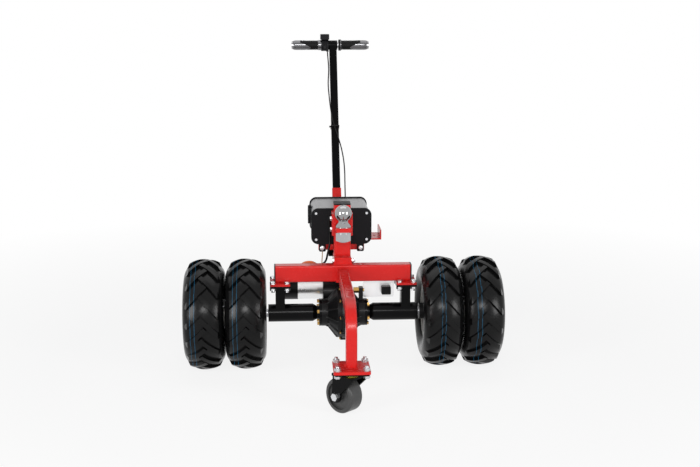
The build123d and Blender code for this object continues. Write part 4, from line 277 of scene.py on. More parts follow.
@dataclass(frozen=True)
class Texture:
    """Close-up relief of a surface.

    Attributes:
        size: size of a grain in metres.
        detail: number of finer layers.
        depth: depth in metres.
        along: how many times longer a grain is along the finish's axis.
        across: how many times longer a grain is across that axis.
    """

    size: float
    detail: float
    depth: float
    along: float = 1.0
    across: float = 1.0


class Grain(Enum):
    """What a finish shows when looked at closely."""

    PAINT = Texture(0.0022, 2.0, 0.00002)
    CAST = Texture(0.0016, 4.0, 0.00018)
    BRUSHED = Texture(0.0005, 3.0, 0.00005, along=60.0)
    TURNED = Texture(0.0006, 2.0, 0.00004, across=40.0)
    PLATED = Texture(0.0030, 2.0, 0.000004)
    MOULDED = Texture(0.0007, 3.0, 0.00006)
    RUBBER = Texture(0.0011, 4.0, 0.00010)
    SHEATH = Texture(0.0010, 2.0, 0.00003)


@dataclass(frozen=True)
class Finish:
    """One surface finish.

    Attributes:
        name: the material's name.
        colour: linear base colour.
        roughness: mean roughness.
        metallic: share of bare metal.
        grain: close-up texture.
        coat: clear coat over the colour.
        shade: share by which the colour varies.
        along: axis that brushing or turning follows.
        shine: how strongly a surface that isn't metal mirrors.
    """

    name: str
    colour: Colour
    roughness: float
    metallic: float = 0.0
    grain: Grain = Grain.PAINT
    coat: float = 0.0
    shade: float = 0.25
    along: int = 0
    shine: float = 0.5

    def relief(self, graph: Graph) -> tuple[Sock, float]:
        """Height pattern of the grain and its depth in metres."""
        texture = self.grain.value
        stretch = tuple(
            texture.along if axis == self.along else texture.across for axis in range(3)
        )
        return graph.noise(texture.size, texture.detail, stretch), texture.depth

    def shader(self, graph: Graph) -> Sock:
        """Add this finish to a graph and return its shader."""
        height, depth = self.relief(graph)
        patches = graph.noise(PATCH_SIZE, 4.0)
        dark = tuple(part * (1.0 - self.shade) for part in self.colour)
        light = tuple(min(part * (1.0 + self.shade), 1.0) for part in self.colour)
        rough = (
            self.roughness + (patches - 0.5) * PATCH_ROUGHNESS + (height - 0.5) * GRAIN_ROUGHNESS
        )
        shift = patches * PATCH_SHARE + height * (1.0 - PATCH_SHARE)
        return graph.surface(
            {
                "Base Color": graph.blend(shift, dark, light),
                "Roughness": rough.larger(LEAST_ROUGHNESS),
                "Metallic": self.metallic,
                "Specular IOR Level": self.shine,
                "Coat Weight": self.coat,
                "Coat Roughness": COAT_ROUGHNESS,
                "Normal": graph.relief(height, depth),
            }
        )

    def material(self) -> bpy.types.Material:
        """The finish as a material of its own."""
        graph = Graph.of_material(self.name)
        return graph.finish(self.shader(graph))


@dataclass(frozen=True)
class SplitFinish:
    """Two finishes on one node, parted at a plane.

    Attributes:
        name: the material's name.
        below: finish under the limit.
        above: finish over the limit.
        axis: axis of the limit.
        limit: where the finishes meet, in metres.
    """

    name: str
    below: Finish
    above: Finish
    axis: int
    limit: float

    def material(self) -> bpy.types.Material:
        """Both finishes as one material."""
        graph = Graph.of_material(self.name)
        over = graph.axes()[self.axis] > self.limit
        below, above = self.below.shader(graph), self.above.shader(graph)
        return graph.finish(
            graph.value("ShaderNodeMixShader", {}, {0: over, 1: below, 2: above})
        )


@dataclass(frozen=True)
class TyreFinish:
    """Black tyre rubber with two thin mould lines round each tread.

    Attributes:
        name: the material's name.
        lines: places of the lines across the dolly, in metres.
        line_half: half width of a line.
        tread_radius: radius outside which the lines show.
        wall_radius: radius inside which the side wall has fine rings.
        ring_rate: radians of the rings per metre of radius.
        line_colour: colour of the lines.
    """

    name: str
    lines: tuple[float, ...]
    line_half: float = 0.0009
    tread_radius: float = 0.146
    wall_radius: float = 0.138
    ring_rate: float = 1570.0
    line_colour: Colour = (0.010, 0.080, 0.150)

    def material(self) -> bpy.types.Material:
        """The tyre rubber as a material."""
        graph = Graph.of_material(self.name)
        across, along, up = graph.axes()
        radius = (along * along + (up - AXLE_Z) ** 2.0) ** 0.5
        fine = graph.noise(0.0012, 4.0)
        patches = graph.noise(0.05, 4.0)
        dust = graph.noise(0.012, 5.0)
        mark: Any = 0.0
        for line in self.lines:
            mark = (abs(across - line) < self.line_half).larger(mark)
        mark = mark * (radius > self.tread_radius) * (0.30 + dust * 0.9)
        dark, light = (0.0015, 0.0015, 0.0016), (0.006, 0.006, 0.0062)
        rubber = graph.blend(patches * 0.6 + fine * 0.4, dark, light)
        rings = ((radius * self.ring_rate).sine() * 0.5 + 0.5) * (radius < self.wall_radius)
        shader = graph.surface(
            {
                "Base Color": graph.blend(mark, rubber, self.line_colour),
                "Roughness": 0.22 + (patches - 0.5) * 0.18 + (fine - 0.5) * 0.08,
                "Specular IOR Level": 0.14,
                "Coat Weight": 0.06,
                "Coat Roughness": 0.15,
                "Normal": graph.relief(fine * 0.4 + rings * 0.6, 0.00035),
            }
        )
        return graph.finish(shader)


@dataclass(frozen=True)
class ThreadFinish:
    """Plated metal whose small round parts carry a screw thread, with painted shade in the thread's
    grooves.

    Attributes:
        name: the material's name.
        base: plating under the thread.
        axis: axis the thread runs along.
        pitch: thread pitch in metres.
    """

    name: str
    base: Finish
    axis: int
    pitch: float = 0.0015

    def material(self) -> bpy.types.Material:
        """The threaded plating as a material."""
        graph = Graph.of_material(self.name)
        along = graph.axes()[self.axis]
        patches = graph.noise(0.008, 4.0)
        grain = graph.noise(0.0009, 3.0)
        wave = (along * (2.0 * pi / self.pitch)).sine() * 0.5 + 0.5
        # Painted shade: the colour darkens in the thread's grooves and lightens towards the plating
        # on its crests, following the thread's height.
        dark = tuple(part * 0.6 for part in self.base.colour)
        rough = self.base.roughness + (patches - 0.5) * 0.2 + (grain - 0.5) * 0.08
        shader = graph.surface(
            {
                "Base Color": graph.blend(patches * 0.6 + wave * 0.25, dark, self.base.colour),
                "Roughness": rough,
                "Metallic": self.base.metallic,
                "Normal": graph.relief(wave * 0.7 + grain * 0.3, 0.00022),
            }
        )
        return graph.finish(shader)


RED = Finish("red_powder_coat", (0.60, 0.012, 0.010), 0.26, coat=0.12, shade=0.10, shine=0.22)
BLACK_PAINT = Finish("black_powder_coat", (0.002, 0.002, 0.0024), 0.22, coat=0.04, shine=0.07)
BLACK_TUBE = Finish("black_stem_coat", (0.002, 0.002, 0.0022), 0.30, shine=0.05)
BLACK_CAST = Finish(
    "black_casting", (0.004, 0.004, 0.0044), 0.38, grain=Grain.CAST, coat=0.04, shine=0.14
)
BLACK_PLASTIC = Finish(
    "black_moulding", (0.006, 0.006, 0.0072), 0.42, grain=Grain.MOULDED, shine=0.12
)
CAP_PLASTIC = Finish(
    "black_cap_moulding", (0.007, 0.007, 0.008), 0.46, grain=Grain.MOULDED, shine=0.14
)
MOTOR_BLACK = Finish("motor_cap_black", (0.005, 0.005, 0.005), 0.36, grain=Grain.CAST, shine=0.15)
CABLE_BLACK = Finish(
    "black_cable_sheath", (0.005, 0.005, 0.005), 0.36, grain=Grain.SHEATH, shine=0.16
)
ORANGE_SHEATH = Finish(
    "orange_lead_sheath", (0.62, 0.13, 0.03), 0.40, grain=Grain.SHEATH, shade=0.12
)
TAN_SHEATH = Finish("tan_wire_sheath", (0.50, 0.33, 0.16), 0.45, grain=Grain.SHEATH)
ZINC = Finish("bright_zinc", (0.70, 0.71, 0.73), 0.25, 0.95, Grain.PLATED, shade=0.15)
YELLOW_ZINC = Finish("yellow_zinc", (0.50, 0.30, 0.09), 0.28, 0.95, Grain.PLATED)
RACE_YELLOW = Finish("yellow_race_plating", (0.95, 0.80, 0.08), 0.30, 0.2, Grain.PLATED, shade=0.10)
ZINC_SHEET = Finish("zinc_sheet", (0.93, 0.93, 0.94), 0.34, 0.9, Grain.BRUSHED, shade=0.05)
BRUSHED_CASE = Finish(
    "brushed_case", (0.30, 0.30, 0.305), 0.40, 0.75, Grain.BRUSHED, shade=0.10, along=1
)
MOTOR_SILVER = Finish("turned_motor_case", (0.93, 0.93, 0.93), 0.30, 0.9, Grain.TURNED, shade=0.04)
COPPER = Finish("wound_rotor", (0.50, 0.24, 0.10), 0.40, 1.0, Grain.TURNED, shade=0.3)
CHROME = Finish("polished_chrome", (0.34, 0.34, 0.345), 0.06, 1.0, Grain.PLATED, shade=0.04)
GRIP_CHROME = Finish("satin_chrome", (0.15, 0.15, 0.155), 0.13, 1.0, Grain.PLATED, shade=0.10)
NUT_STEEL = Finish("plated_nut", (0.44, 0.44, 0.45), 0.16, 1.0, Grain.PLATED, shade=0.08)
RIM_SILVER = Finish("silver_rim_paint", (0.40, 0.39, 0.37), 0.36, 0.5, coat=0.2, shade=0.10)
HUB_BLACK = Finish(
    "black_hub_paint", (0.008, 0.008, 0.0084), 0.40, grain=Grain.CAST, coat=0.04, shine=0.15
)
CAST_GREY = Finish("grey_casting", (0.42, 0.42, 0.42), 0.50, 0.6, Grain.CAST)
GROUND_STEEL = Finish("ground_steel", (0.52, 0.52, 0.54), 0.30, 1.0, Grain.TURNED, shade=0.12)
GRIP_RUBBER = Finish("grip_rubber", (0.005, 0.005, 0.005), 0.50, grain=Grain.RUBBER, shine=0.15)
CASTER_GREY = Finish(
    "caster_wheel_grey", (0.060, 0.060, 0.060), 0.36, 0.1, Grain.CAST, shade=0.3, shine=0.3
)
CELL_WRAP = Finish("cell_wrap", (0.06, 0.14, 0.40), 0.35, grain=Grain.SHEATH)
CONTROLLER = Finish("controller_case", (0.03, 0.03, 0.033), 0.45, 0.3, Grain.CAST)
WELD = Finish(
    "painted_weld", (0.56, 0.011, 0.009), 0.32, grain=Grain.CAST, coat=0.10, shade=0.15, shine=0.22
)
LENS = Finish("gauge_lens", (0.02, 0.03, 0.03), 0.08, grain=Grain.PLATED, coat=1.0)

COLLAR_SPLIT = SplitFinish("throttle_body_and_collar", GRIP_CHROME, BLACK_PLASTIC, 0, -0.0400)
RACE_SPLIT = SplitFinish("caster_plate_and_race", RACE_YELLOW, BLACK_PAINT, 2, 0.1188)
BLOCK_SPLIT = SplitFinish("plate_and_block", BLACK_PLASTIC, ZINC_SHEET, 1, 0.01995)

NODE_FINISHES: tuple[tuple[Any, tuple[str, ...]], ...] = (
    (
        RED,
        (
            "cross_beam", "caster_arm", "hitch_post", "ball_mount", "battery_tray", "stem_socket",
            "side_bracket",
        ),
    ),
    (RIM_SILVER, ("left_rims", "right_rims")),
    (BLACK_PAINT, ("axle_saddles", "rear_spine", "caster_fork", "axle_tubes")),
    (BLACK_CAST, ("gear_housing_left", "gear_housing_right")),
    (BLACK_TUBE, ("handle_stem",)),
    (CAP_PLASTIC, ("tube_end_caps", "charge_port", "charge_port_cap", "direction_switch")),
    (BLACK_PLASTIC, ("battery_front_cover", "battery_rear_cover", "battery_gauge")),
    (COLLAR_SPLIT, ("throttle_housing",)),
    (MOTOR_BLACK, ("motor_end_cap",)),
    (CABLE_BLACK, ("throttle_cable", "harness_cable")),
    (ORANGE_SHEATH, ("motor_lead",)),
    (TAN_SHEATH, ("earth_wire",)),
    (ThreadFinish("threaded_frame_bolts", ZINC, 2), ("frame_bolts",)),
    (ZINC, ("case_fasteners", "caster_axle_bolt")),
    (ThreadFinish("threaded_left_studs", ZINC, 0), ("left_wheel_studs",)),
    (ThreadFinish("threaded_right_studs", ZINC, 0), ("right_wheel_studs",)),
    (YELLOW_ZINC, ("housing_bolts",)),
    (RACE_SPLIT, ("caster_top_plate",)),
    (BLOCK_SPLIT, ("lead_plate",)),
    (BRUSHED_CASE, ("battery_case",)),
    (MOTOR_SILVER, ("motor_case",)),
    (COPPER, ("motor_rotor",)),
    (CHROME, ("hitch_ball", "handlebar")),
    (NUT_STEEL, ("ball_nut",)),
    (HUB_BLACK, ("left_hub", "right_hub")),
    (
        GROUND_STEEL,
        (
            "left_half_shaft", "right_half_shaft", "axle_bearings", "ring_gear",
            "upper_spider_gear", "lower_spider_gear", "cluster_gear",
        ),
    ),
    (CAST_GREY, ("diff_case",)),
    (TyreFinish("left_tyre_rubber", (-0.447, -0.435, -0.325, -0.313)), ("left_tyres",)),
    (TyreFinish("right_tyre_rubber", (0.281, 0.291, 0.386, 0.398)), ("right_tyres",)),
    (GRIP_RUBBER, ("plain_grip", "twist_grip")),
    (CASTER_GREY, ("caster_wheel",)),
    (CELL_WRAP, ("battery_cells",)),
    (CONTROLLER, ("motor_controller",)),
)


class Shop:
    """Makes pieces, dresses them and puts them on their bodies."""

    def __init__(self) -> None:
        """Start with no materials."""
        self.materials: dict[str, bpy.types.Material] = {}

    def material(self, finish: Any) -> bpy.types.Material:
        """The material of a finish, made once."""
        if finish.name not in self.materials:
            self.materials[finish.name] = finish.material()
        return self.materials[finish.name]

    def dress(self, node: str, finish: Any) -> None:
        """Give a CAD node its finish.

        Args:
            node: the node's name.
            finish: the finish.
        """
        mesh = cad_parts[node].data
        mesh.materials.clear()
        mesh.materials.append(self.material(finish))
        LOG.info("dressed %s in %s", node, finish.name)

    def piece(
        self, name: str, shape: bmesh.types.BMesh, finish: Any, body: str
    ) -> bpy.types.Object:
        """Turn a bmesh into a piece that rides on a body.

        Args:
            name: the piece's name.
            shape: its mesh, which is freed.
            finish: its finish.
            body: the CAD body that it rides on.

        Returns:
            The new object.
        """
        bmesh.ops.recalc_face_normals(shape, faces=shape.faces)
        mesh = bpy.data.meshes.new(name)
        shape.to_mesh(mesh)
        shape.free()
        mesh.polygons.foreach_set("use_smooth", [True] * len(mesh.polygons))
        mesh.set_sharp_from_angle(angle=SHARP_ANGLE)
        mesh.materials.append(self.material(finish))
        made = bpy.data.objects.new(name, mesh)
        bpy.context.collection.objects.link(made)
        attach(made, body)
        LOG.info("made %s on %s", name, body)
        return made


def join_rings(shape: bmesh.types.BMesh, pairs: Iterable[tuple[Ring, Ring]]) -> None:
    """Add the faces between pairs of rings that have equally many corners.

    Args:
        shape: mesh that takes the faces.
        pairs: neighbouring rings.
    """
    for first, second in pairs:
        for side in range(len(first)):
            other = (side + 1) % len(first)
            shape.faces.new((first[side], first[other], second[other], second[side]))


def tube(
    shape: bmesh.types.BMesh,
    points: Sequence[Vector],
    radii: Sequence[float],
    sides: int,
    closed: bool,
) -> None:
    """Add a round tube along points.

    Args:
        shape: mesh that takes the tube.
        points: middle line.
        radii: radius at each point.
        sides: corners of the section.
        closed: whether the line is a loop.
    """
    rings = []
    count = len(points)
    turn = Vector((0.0, 0.0, 1.0))
    for index, point in enumerate(points):
        after = points[(index + 1) % count] if closed or index + 1 < count else point
        before = points[index - 1] if closed or index else point
        ahead = (after - before).normalized()
        if abs(ahead.dot(turn)) > 0.95:
            turn = Vector((1.0, 0.0, 0.0))
        across = ahead.cross(turn).normalized()
        turn = across.cross(ahead).normalized()
        ring = []
        for side in range(sides):
            angle = 2.0 * pi * side / sides
            arm = cos(angle) * across + sin(angle) * turn
            ring.append(shape.verts.new(point + radii[index] * arm))
        rings.append(ring)
    pairs = list(zip(rings, rings[1:]))
    if closed:
        pairs.append((rings[-1], rings[0]))
    else:
        shape.faces.new(list(reversed(rings[0])))
        shape.faces.new(rings[-1])
    join_rings(shape, pairs)


def lathe(shape: bmesh.types.BMesh, profile: Sequence[Spot], place: Matrix, sides: int) -> None:
    """Add a turned form.

    Args:
        shape: mesh that takes the form.
        profile: closed loop of places along the axis and radii.
        place: matrix from the axis along local Z to the frame.
        sides: steps round the axis.
    """
    rings = []
    for along, radius in profile:
        ring = []
        for side in range(sides):
            angle = 2.0 * pi * side / sides
            corner = Vector((radius * cos(angle), radius * sin(angle), along))
            ring.append(shape.verts.new(place @ corner))
        rings.append(ring)
    join_rings(shape, zip(rings, rings[1:] + rings[:1]))


def along_x(origin: Point) -> Matrix:
    """Matrix that puts local Z on +X at an origin."""
    return Matrix.Translation(Vector(origin)) @ Matrix.Rotation(pi / 2, 4, "Y")


BAR_PLACE = along_x((0.0, BAR_Y, BAR_Z))


def loop_points(corners: Sequence[Vector], step: float) -> list[Vector]:
    """Points at even steps round a closed polyline.

    Args:
        corners: corners of the loop.
        step: distance between points.

    Returns:
        The points in order.
    """
    points = []
    for start, end in zip(corners, list(corners[1:]) + [corners[0]]):
        count = max(2, ceil((end - start).length / step))
        points += [start.lerp(end, index / count) for index in range(count)]
    return points


@dataclass
class Handle:
    """Ribbed grips of the handle.

    Attributes:
        grip_radius: radius over the ribs.
        rib: depth of the grooves between ribs.
        rib_pitch: least distance between grooves.
        edge: step at each end of the ribs.
        twist_bore: radius of the twist grip's hole.
        plain_bore: radius of the plain grip's hole.
    """

    grip_radius: float = 0.016
    rib: float = 0.0009
    rib_pitch: float = 0.0042
    edge: float = 0.001
    twist_bore: float = 0.01105
    plain_bore: float = 0.011

    def grip_profile(self, start: float, end: float, bore: float) -> list[Spot]:
        """Section of a ribbed grip.

        Args:
            start: inner end across the dolly.
            end: outer end across the dolly.
            bore: radius of its hole.

        Returns:
            Closed profile of places and radii.
        """
        reach = end - start
        ribs = int(abs(reach) / self.rib_pitch) - 1
        step = reach / (ribs + 1)
        rim = self.grip_radius - self.edge
        profile = [(start, bore), (start, rim), (start + 0.1 * step, self.grip_radius)]
        for rib in range(ribs):
            middle = start + (rib + 1) * step
            for offset, drop in ((-0.30, 0.0), (-0.20, 1.0), (0.20, 1.0), (0.30, 0.0)):
                profile.append((middle + offset * step, self.grip_radius - drop * self.rib))
        profile += [(end - 0.1 * step, self.grip_radius), (end, rim), (end, bore)]
        return profile

    def build(self, shop: Shop) -> None:
        """Make both grips."""
        low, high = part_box("twist_grip")
        shape = bmesh.new()
        profile = self.grip_profile(high[0], low[0], self.twist_bore)
        lathe(shape, profile, BAR_PLACE, GRIP_SIDES)
        grip = shop.piece("ribbed_twist_grip", shape, GRIP_RUBBER, "throttle_grip")
        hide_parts("twist_grip")
        low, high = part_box("plain_grip")
        shape = bmesh.new()
        profile = [
            (low[0], self.plain_bore),
            (low[0], 0.018),
            (low[0] + 0.0015, 0.019),
            (low[0] + 0.0065, 0.019),
            (low[0] + 0.008, 0.0165),
        ]
        profile += self.grip_profile(low[0] + 0.0095, high[0], self.plain_bore)[1:]
        lathe(shape, profile, BAR_PLACE, GRIP_SIDES)
        grip = shop.piece("ribbed_plain_grip", shape, GRIP_RUBBER, "chassis")
        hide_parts("plain_grip")


@dataclass
class Welds:
    """Painted weld beads where tubes and plates meet.

    Attributes:
        bead: mean radius of a bead.
        ripple: how much the radius swells at each ripple.
        pitch: distance between ripples.
        clip: how far the corners of a rectangle are clipped.
        half: half width of the beads across the front of the post.
    """

    bead: float = 0.0019
    ripple: float = 0.00055
    pitch: float = 0.0030
    clip: float = 0.0035
    half: float = 0.0205

    def add_bead(self, shape: bmesh.types.BMesh, corners: Sequence[Point], closed: bool) -> None:
        """Add one rippled bead along corners.

        Args:
            shape: mesh that takes the bead.
            corners: corners of its line.
            closed: whether the line is a loop.
        """
        line = [Vector(corner) for corner in corners]
        step = self.pitch / 4.0
        points = loop_points(line, step)
        if not closed:
            last = ceil((line[0] - line[-1]).length / step)
            points = points[: len(points) - max(2, last)] + [line[-1]]
        radii = [
            self.bead + self.ripple * sin(index * pi / 2.0) for index in range(len(points))
        ]
        tube(shape, points, radii, 8, closed)

    def rectangle(self, middle: Point, first: Point, second: Point) -> list[Point]:
        """Corners of a rectangle with clipped corners.

        Args:
            middle: its middle.
            first: half of its first side, as a vector.
            second: half of its second side, as a vector.

        Returns:
            Eight corners in order.
        """
        centre, along, across = Vector(middle), Vector(first), Vector(second)
        clip_a = 1.0 - self.clip / along.length
        clip_b = 1.0 - self.clip / across.length
        order = [(1, clip_b), (clip_a, 1), (-clip_a, 1), (-1, clip_b)]
        order += [(-1, -clip_b), (-clip_a, -1), (clip_a, -1), (1, -clip_b)]
        return [tuple(centre + a * along + b * across) for a, b in order]

    def build(self, shop: Shop) -> None:
        """Make the beads of the red frame and of the black frame."""
        red = bmesh.new()
        for middle, second in (
            ((0.0, -0.0245, 0.285), (0, 0, 0.0205)),
            ((0.0, -0.424, 0.1325), (0, 0.0205, 0)),
        ):
            self.add_bead(red, self.rectangle(middle, (0.0155, 0, 0), second), True)
        for y, z in ((0.0133, 0.4325), (0.0133, 0.4195), (0.0195, 0.3345)):
            self.add_bead(red, [(-self.half, y, z), (self.half, y, z)], False)
        for side in (-1.0, 1.0):
            x, z = side * 0.0265, 0.3135
            self.add_bead(red, [(x, -0.0108, z), (x, 0.0200, z)], False)
            for face in (-1.0, 1.0):
                y, z = face * 0.0195, 0.2632
                self.add_bead(red, [(side * 0.160, y, z), (side * 0.2035, y, z)], False)
        shop.piece("red_weld_beads", red, WELD, "chassis")
        black = bmesh.new()
        for side in (-1.0, 1.0):
            middle = (side * 0.188, 0.0, 0.2508)
            self.add_bead(black, self.rectangle(middle, (0.0145, 0, 0), (0, 0.0205, 0)), True)
        for side in (-1.0, 1.0):
            x, y = side * 0.0165, 0.0205
            self.add_bead(black, [(x, y, 0.3128), (x, y, 0.2768)], False)
        shop.piece("black_weld_beads", black, BLACK_PAINT, "chassis")


@dataclass
class CaseTrim:
    """Moulded ribs of the rear cover, the charge cap's grip and the gauge's window.

    Attributes:
        rib_radius: radius of a rib.
        teeth: steps of the cap's grip round a full turn.
        grip_radius: radius that the grip's teeth stand on.
        hinge_drop: height over the cap's middle that is kept free for its hinge.
        tooth_radius: radius of a tooth.
        tooth_x: start and end of a tooth from the cap's face.
        window: size of the gauge's window.
    """

    rib_radius: float = 0.0016
    teeth: int = 40
    grip_radius: float = 0.0258
    hinge_drop: float = 0.0235
    tooth_radius: float = 0.0011
    tooth_x: Spot = (0.0003, 0.0060)
    window: Point = (0.0212, 0.0009, 0.0092)

    def rounded(
        self, half_x: float, half_z: float, radius: float, y: float, middle_z: float
    ) -> list[Vector]:
        """Points round an upright rounded rectangle.

        Args:
            half_x: half width.
            half_z: half height.
            radius: corner radius.
            y: where it stands.
            middle_z: height of its middle.

        Returns:
            Points in order.
        """
        points = []
        for corner, (sign_x, sign_z) in enumerate(((1, 1), (-1, 1), (-1, -1), (1, -1))):
            for step in range(9):
                angle = (corner + step / 8.0) * pi / 2.0
                x = sign_x * (half_x - radius) + radius * cos(angle)
                z = middle_z + sign_z * (half_z - radius) + radius * sin(angle)
                points.append(Vector((x, y, z)))
        return points

    def build(self, shop: Shop) -> None:
        """Make the trim of the case."""
        shape = bmesh.new()
        for inset in (0.004, 0.028):
            radius = 0.020 - inset * 0.3
            line = self.rounded(0.092 - inset, 0.0555 - inset, radius, 0.2882, 0.4125)
            tube(shape, line, [self.rib_radius] * len(line), 8, True)
        shop.piece("rear_cover_ribs", shape, BLACK_PLASTIC, "chassis")
        shape = bmesh.new()
        low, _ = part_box("charge_port_cap")
        middle = Vector((low[0], 0.195, 0.427))
        for tooth in range(self.teeth):
            angle = 2.0 * pi * tooth / self.teeth
            spot = middle + self.grip_radius * Vector((0.0, sin(angle), cos(angle)))
            if spot.z > middle.z + self.hinge_drop:
                continue
            line = [spot + Vector((x, 0, 0)) for x in self.tooth_x]
            tube(shape, line, [self.tooth_radius] * len(line), 6, False)
        shop.piece("charge_cap_grip", shape, CAP_PLASTIC, "port_cap")
        shape = bmesh.new()
        low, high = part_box("battery_gauge")
        lens_y = high[1] - 0.0010
        centre = Vector((-0.0275, lens_y, 0.5 * (low[2] + high[2]) + 0.0012))
        lens = bmesh.ops.create_cube(shape, size=1.0)
        bmesh.ops.scale(shape, vec=self.window, verts=lens["verts"])
        bmesh.ops.bevel(shape, geom=shape.edges[:], offset=0.0003, segments=2, affect="EDGES")
        bmesh.ops.translate(shape, vec=centre, verts=shape.verts)
        shop.piece("gauge_window", shape, LENS, "chassis")


@dataclass
class StemTrim:
    """Tie that holds the throttle cable on the stem.

    Attributes:
        along: place up the stem from its foot.
        half: reach of the strap at the sides and the back.
        ahead: reach of the strap at the front, over the cable.
        width: width of the strap.
    """

    along: float = 0.403
    half: float = 0.0136
    ahead: float = 0.0178
    width: float = 0.0042

    def build(self, shop: Shop) -> None:
        """Make the cable tie with its head."""
        shape = bmesh.new()
        middle = STEM_FOOT + self.along * STEM_UP
        side = Vector((1.0, 0.0, 0.0))
        outline = []
        for a, b in ((-1, -1), (1, -1), (1, 1), (-1, 1)):
            reach = self.ahead if b > 0 else self.half
            outline.append(middle + a * self.half * side + b * reach * STEM_FRONT)
        points = loop_points(outline, 0.004)
        for level in (-0.3, 0.0, 0.3):
            line = [point + level * self.width * STEM_UP for point in points]
            tube(shape, line, [0.0008] * len(line), 6, True)
        head = bmesh.ops.create_cube(shape, size=1.0)
        bmesh.ops.scale(shape, vec=(0.0065, 0.0050, 0.0055), verts=head["verts"])
        spot = middle - (self.half + 0.0022) * side + 0.008 * STEM_FRONT
        bmesh.ops.translate(shape, vec=spot, verts=head["verts"])
        shop.piece("cable_tie", shape, CAP_PLASTIC, "chassis")


@dataclass
class WheelTrim:
    """Valve stems of the four tyres.

    Attributes:
        place_radius: distance of a stem from the axle.
        length: length of a stem.
    """

    place_radius: float = 0.064
    length: float = 0.030

    def build(self, shop: Shop) -> None:
        """Make the valve stems of both sides."""
        profile = [
            (0.0, 0.0005),
            (0.0, 0.0052),
            (0.006, 0.0050),
            (0.010, 0.0034),
            (0.022, 0.0032),
            (0.0225, 0.0040),
            (self.length, 0.0040),
            (self.length, 0.0005),
        ]
        for side, word in ((-1.0, "left"), (1.0, "right")):
            shape = bmesh.new()
            for middle in (0.290, 0.412):
                lean = Matrix.Rotation(radians(30.0), 4, "X")
                spot = Matrix.Translation((side * (middle + 0.026), 0.0, AXLE_Z))
                turn = Matrix.Rotation(pi / 2.0 * side, 4, "Y")
                out = Matrix.Translation((0.0, 0.0, self.place_radius))
                lathe(shape, profile, spot @ lean @ out @ turn, 20)
            shop.piece(f"{word}_valve_stems", shape, GRIP_RUBBER, f"{word}_drive")


@dataclass
class MotorTrim:
    """Bands and cap screws of the motor.

    Attributes:
        middle: a place on the motor's axis.
        case_radius: radius that the bands sit on.
        screw_circle: radius of the circle of screws.
    """

    middle: Point = (0.0, 0.09506, 0.23406)
    case_radius: float = 0.0500
    screw_circle: float = 0.036

    def build(self, shop: Shop) -> None:
        """Make the motor's bands and cap screws."""
        shape = bmesh.new()
        place = along_x(self.middle)
        for start, width, lift in ((-0.1345, 0.0025, 0.0016), (-0.0625, 0.0030, 0.0012)):
            inner, outer, end = self.case_radius, self.case_radius + lift, start + width
            lathe(shape, [(start, inner), (start, outer), (end, outer), (end, inner)], place, 72)
        shop.piece("motor_bands", shape, MOTOR_SILVER, "chassis")
        shape = bmesh.new()
        for index in range(3):
            angle = radians(30.0 + 120.0 * index)
            y = self.middle[1] + self.screw_circle * cos(angle)
            z = self.middle[2] + self.screw_circle * sin(angle)
            profile = [(0.0, 0.0012), (0.0, 0.0045), (0.0036, 0.0045), (0.0036, 0.0012)]
            lathe(shape, profile, along_x((-0.1832, y, z)), 18)
        shop.piece("motor_cap_screws", shape, ZINC, "chassis")


@dataclass
class HousingTrim:
    """Cast ribs, seam flange and seam bolts of the gear housing.

    Attributes:
        tower: angle of the gear tower, in degrees from the rear.
        clear: angle kept free on each side of the tower.
        seam_radius: radius of the seam flange.
        rib_count: ribs on each side.
        bolt_count: bolts round the seam.
        steps: steps of the seam's line.
    """

    tower: float = 36.0
    clear: float = 62.0
    seam_radius: float = 0.0775
    rib_count: int = 9
    bolt_count: int = 7
    steps: int = 60

    def spot(self, x: float, radius: float, degrees: float) -> Vector:
        """Place round the axle at an angle from the rear."""
        angle = radians(degrees)
        return Vector((x, radius * cos(angle), AXLE_Z + radius * sin(angle)))

    def ribs(self, shop: Shop) -> None:
        """Make the ribs on both cones."""
        shape = bmesh.new()
        free = 360.0 - 2.0 * self.clear
        for side in (-1.0, 1.0):
            for index in range(self.rib_count):
                degrees = self.tower + self.clear + free * index / (self.rib_count - 1)
                line = [
                    self.spot(side * 0.0165, 0.0750, degrees),
                    self.spot(side * 0.0200, 0.0745, degrees),
                    self.spot(side * 0.0440, 0.0430, degrees),
                    self.spot(side * 0.0520, 0.0405, degrees),
                ]
                tube(shape, line, [0.0020, 0.0026, 0.0026, 0.0020], 8, False)
        shop.piece("housing_ribs", shape, BLACK_CAST, "chassis")

    def seam(self, shop: Shop) -> None:
        """Make the seam flange and its bolts."""
        flange = bmesh.new()
        bolts = bmesh.new()
        free = 360.0 - 2.0 * self.clear
        for x in (-0.0024, 0.0001, 0.0026):
            line = [
                self.spot(x, self.seam_radius, self.tower + self.clear + free * step / self.steps)
                for step in range(self.steps + 1)
            ]
            tube(flange, line, [0.0030] * len(line), 8, False)
        last = self.bolt_count - 1
        for index in range(self.bolt_count):
            degrees = self.tower + self.clear + 6.0 + (free - 12.0) * index / last
            middle = self.spot(0.0, self.seam_radius + 0.0010, degrees)
            profile = [(-0.009, 0.0030), (-0.009, 0.0058), (0.009, 0.0058), (0.009, 0.0030)]
            lathe(flange, profile, along_x(middle), 20)
            for side in (-1.0, 1.0):
                top = side * 0.0035
                head = [(0.0, 0.0010), (0.0, 0.0044), (top, 0.0044), (top, 0.0010)]
                lathe(bolts, head, along_x(middle + Vector((side * 0.0088, 0.0, 0.0))), 6)
        shop.piece("housing_seam", flange, BLACK_CAST, "chassis")
        shop.piece("housing_seam_bolts", bolts, YELLOW_ZINC, "chassis")

    def build(self, shop: Shop) -> None:
        """Make the housing's trim."""
        self.ribs(shop)
        self.seam(shop)


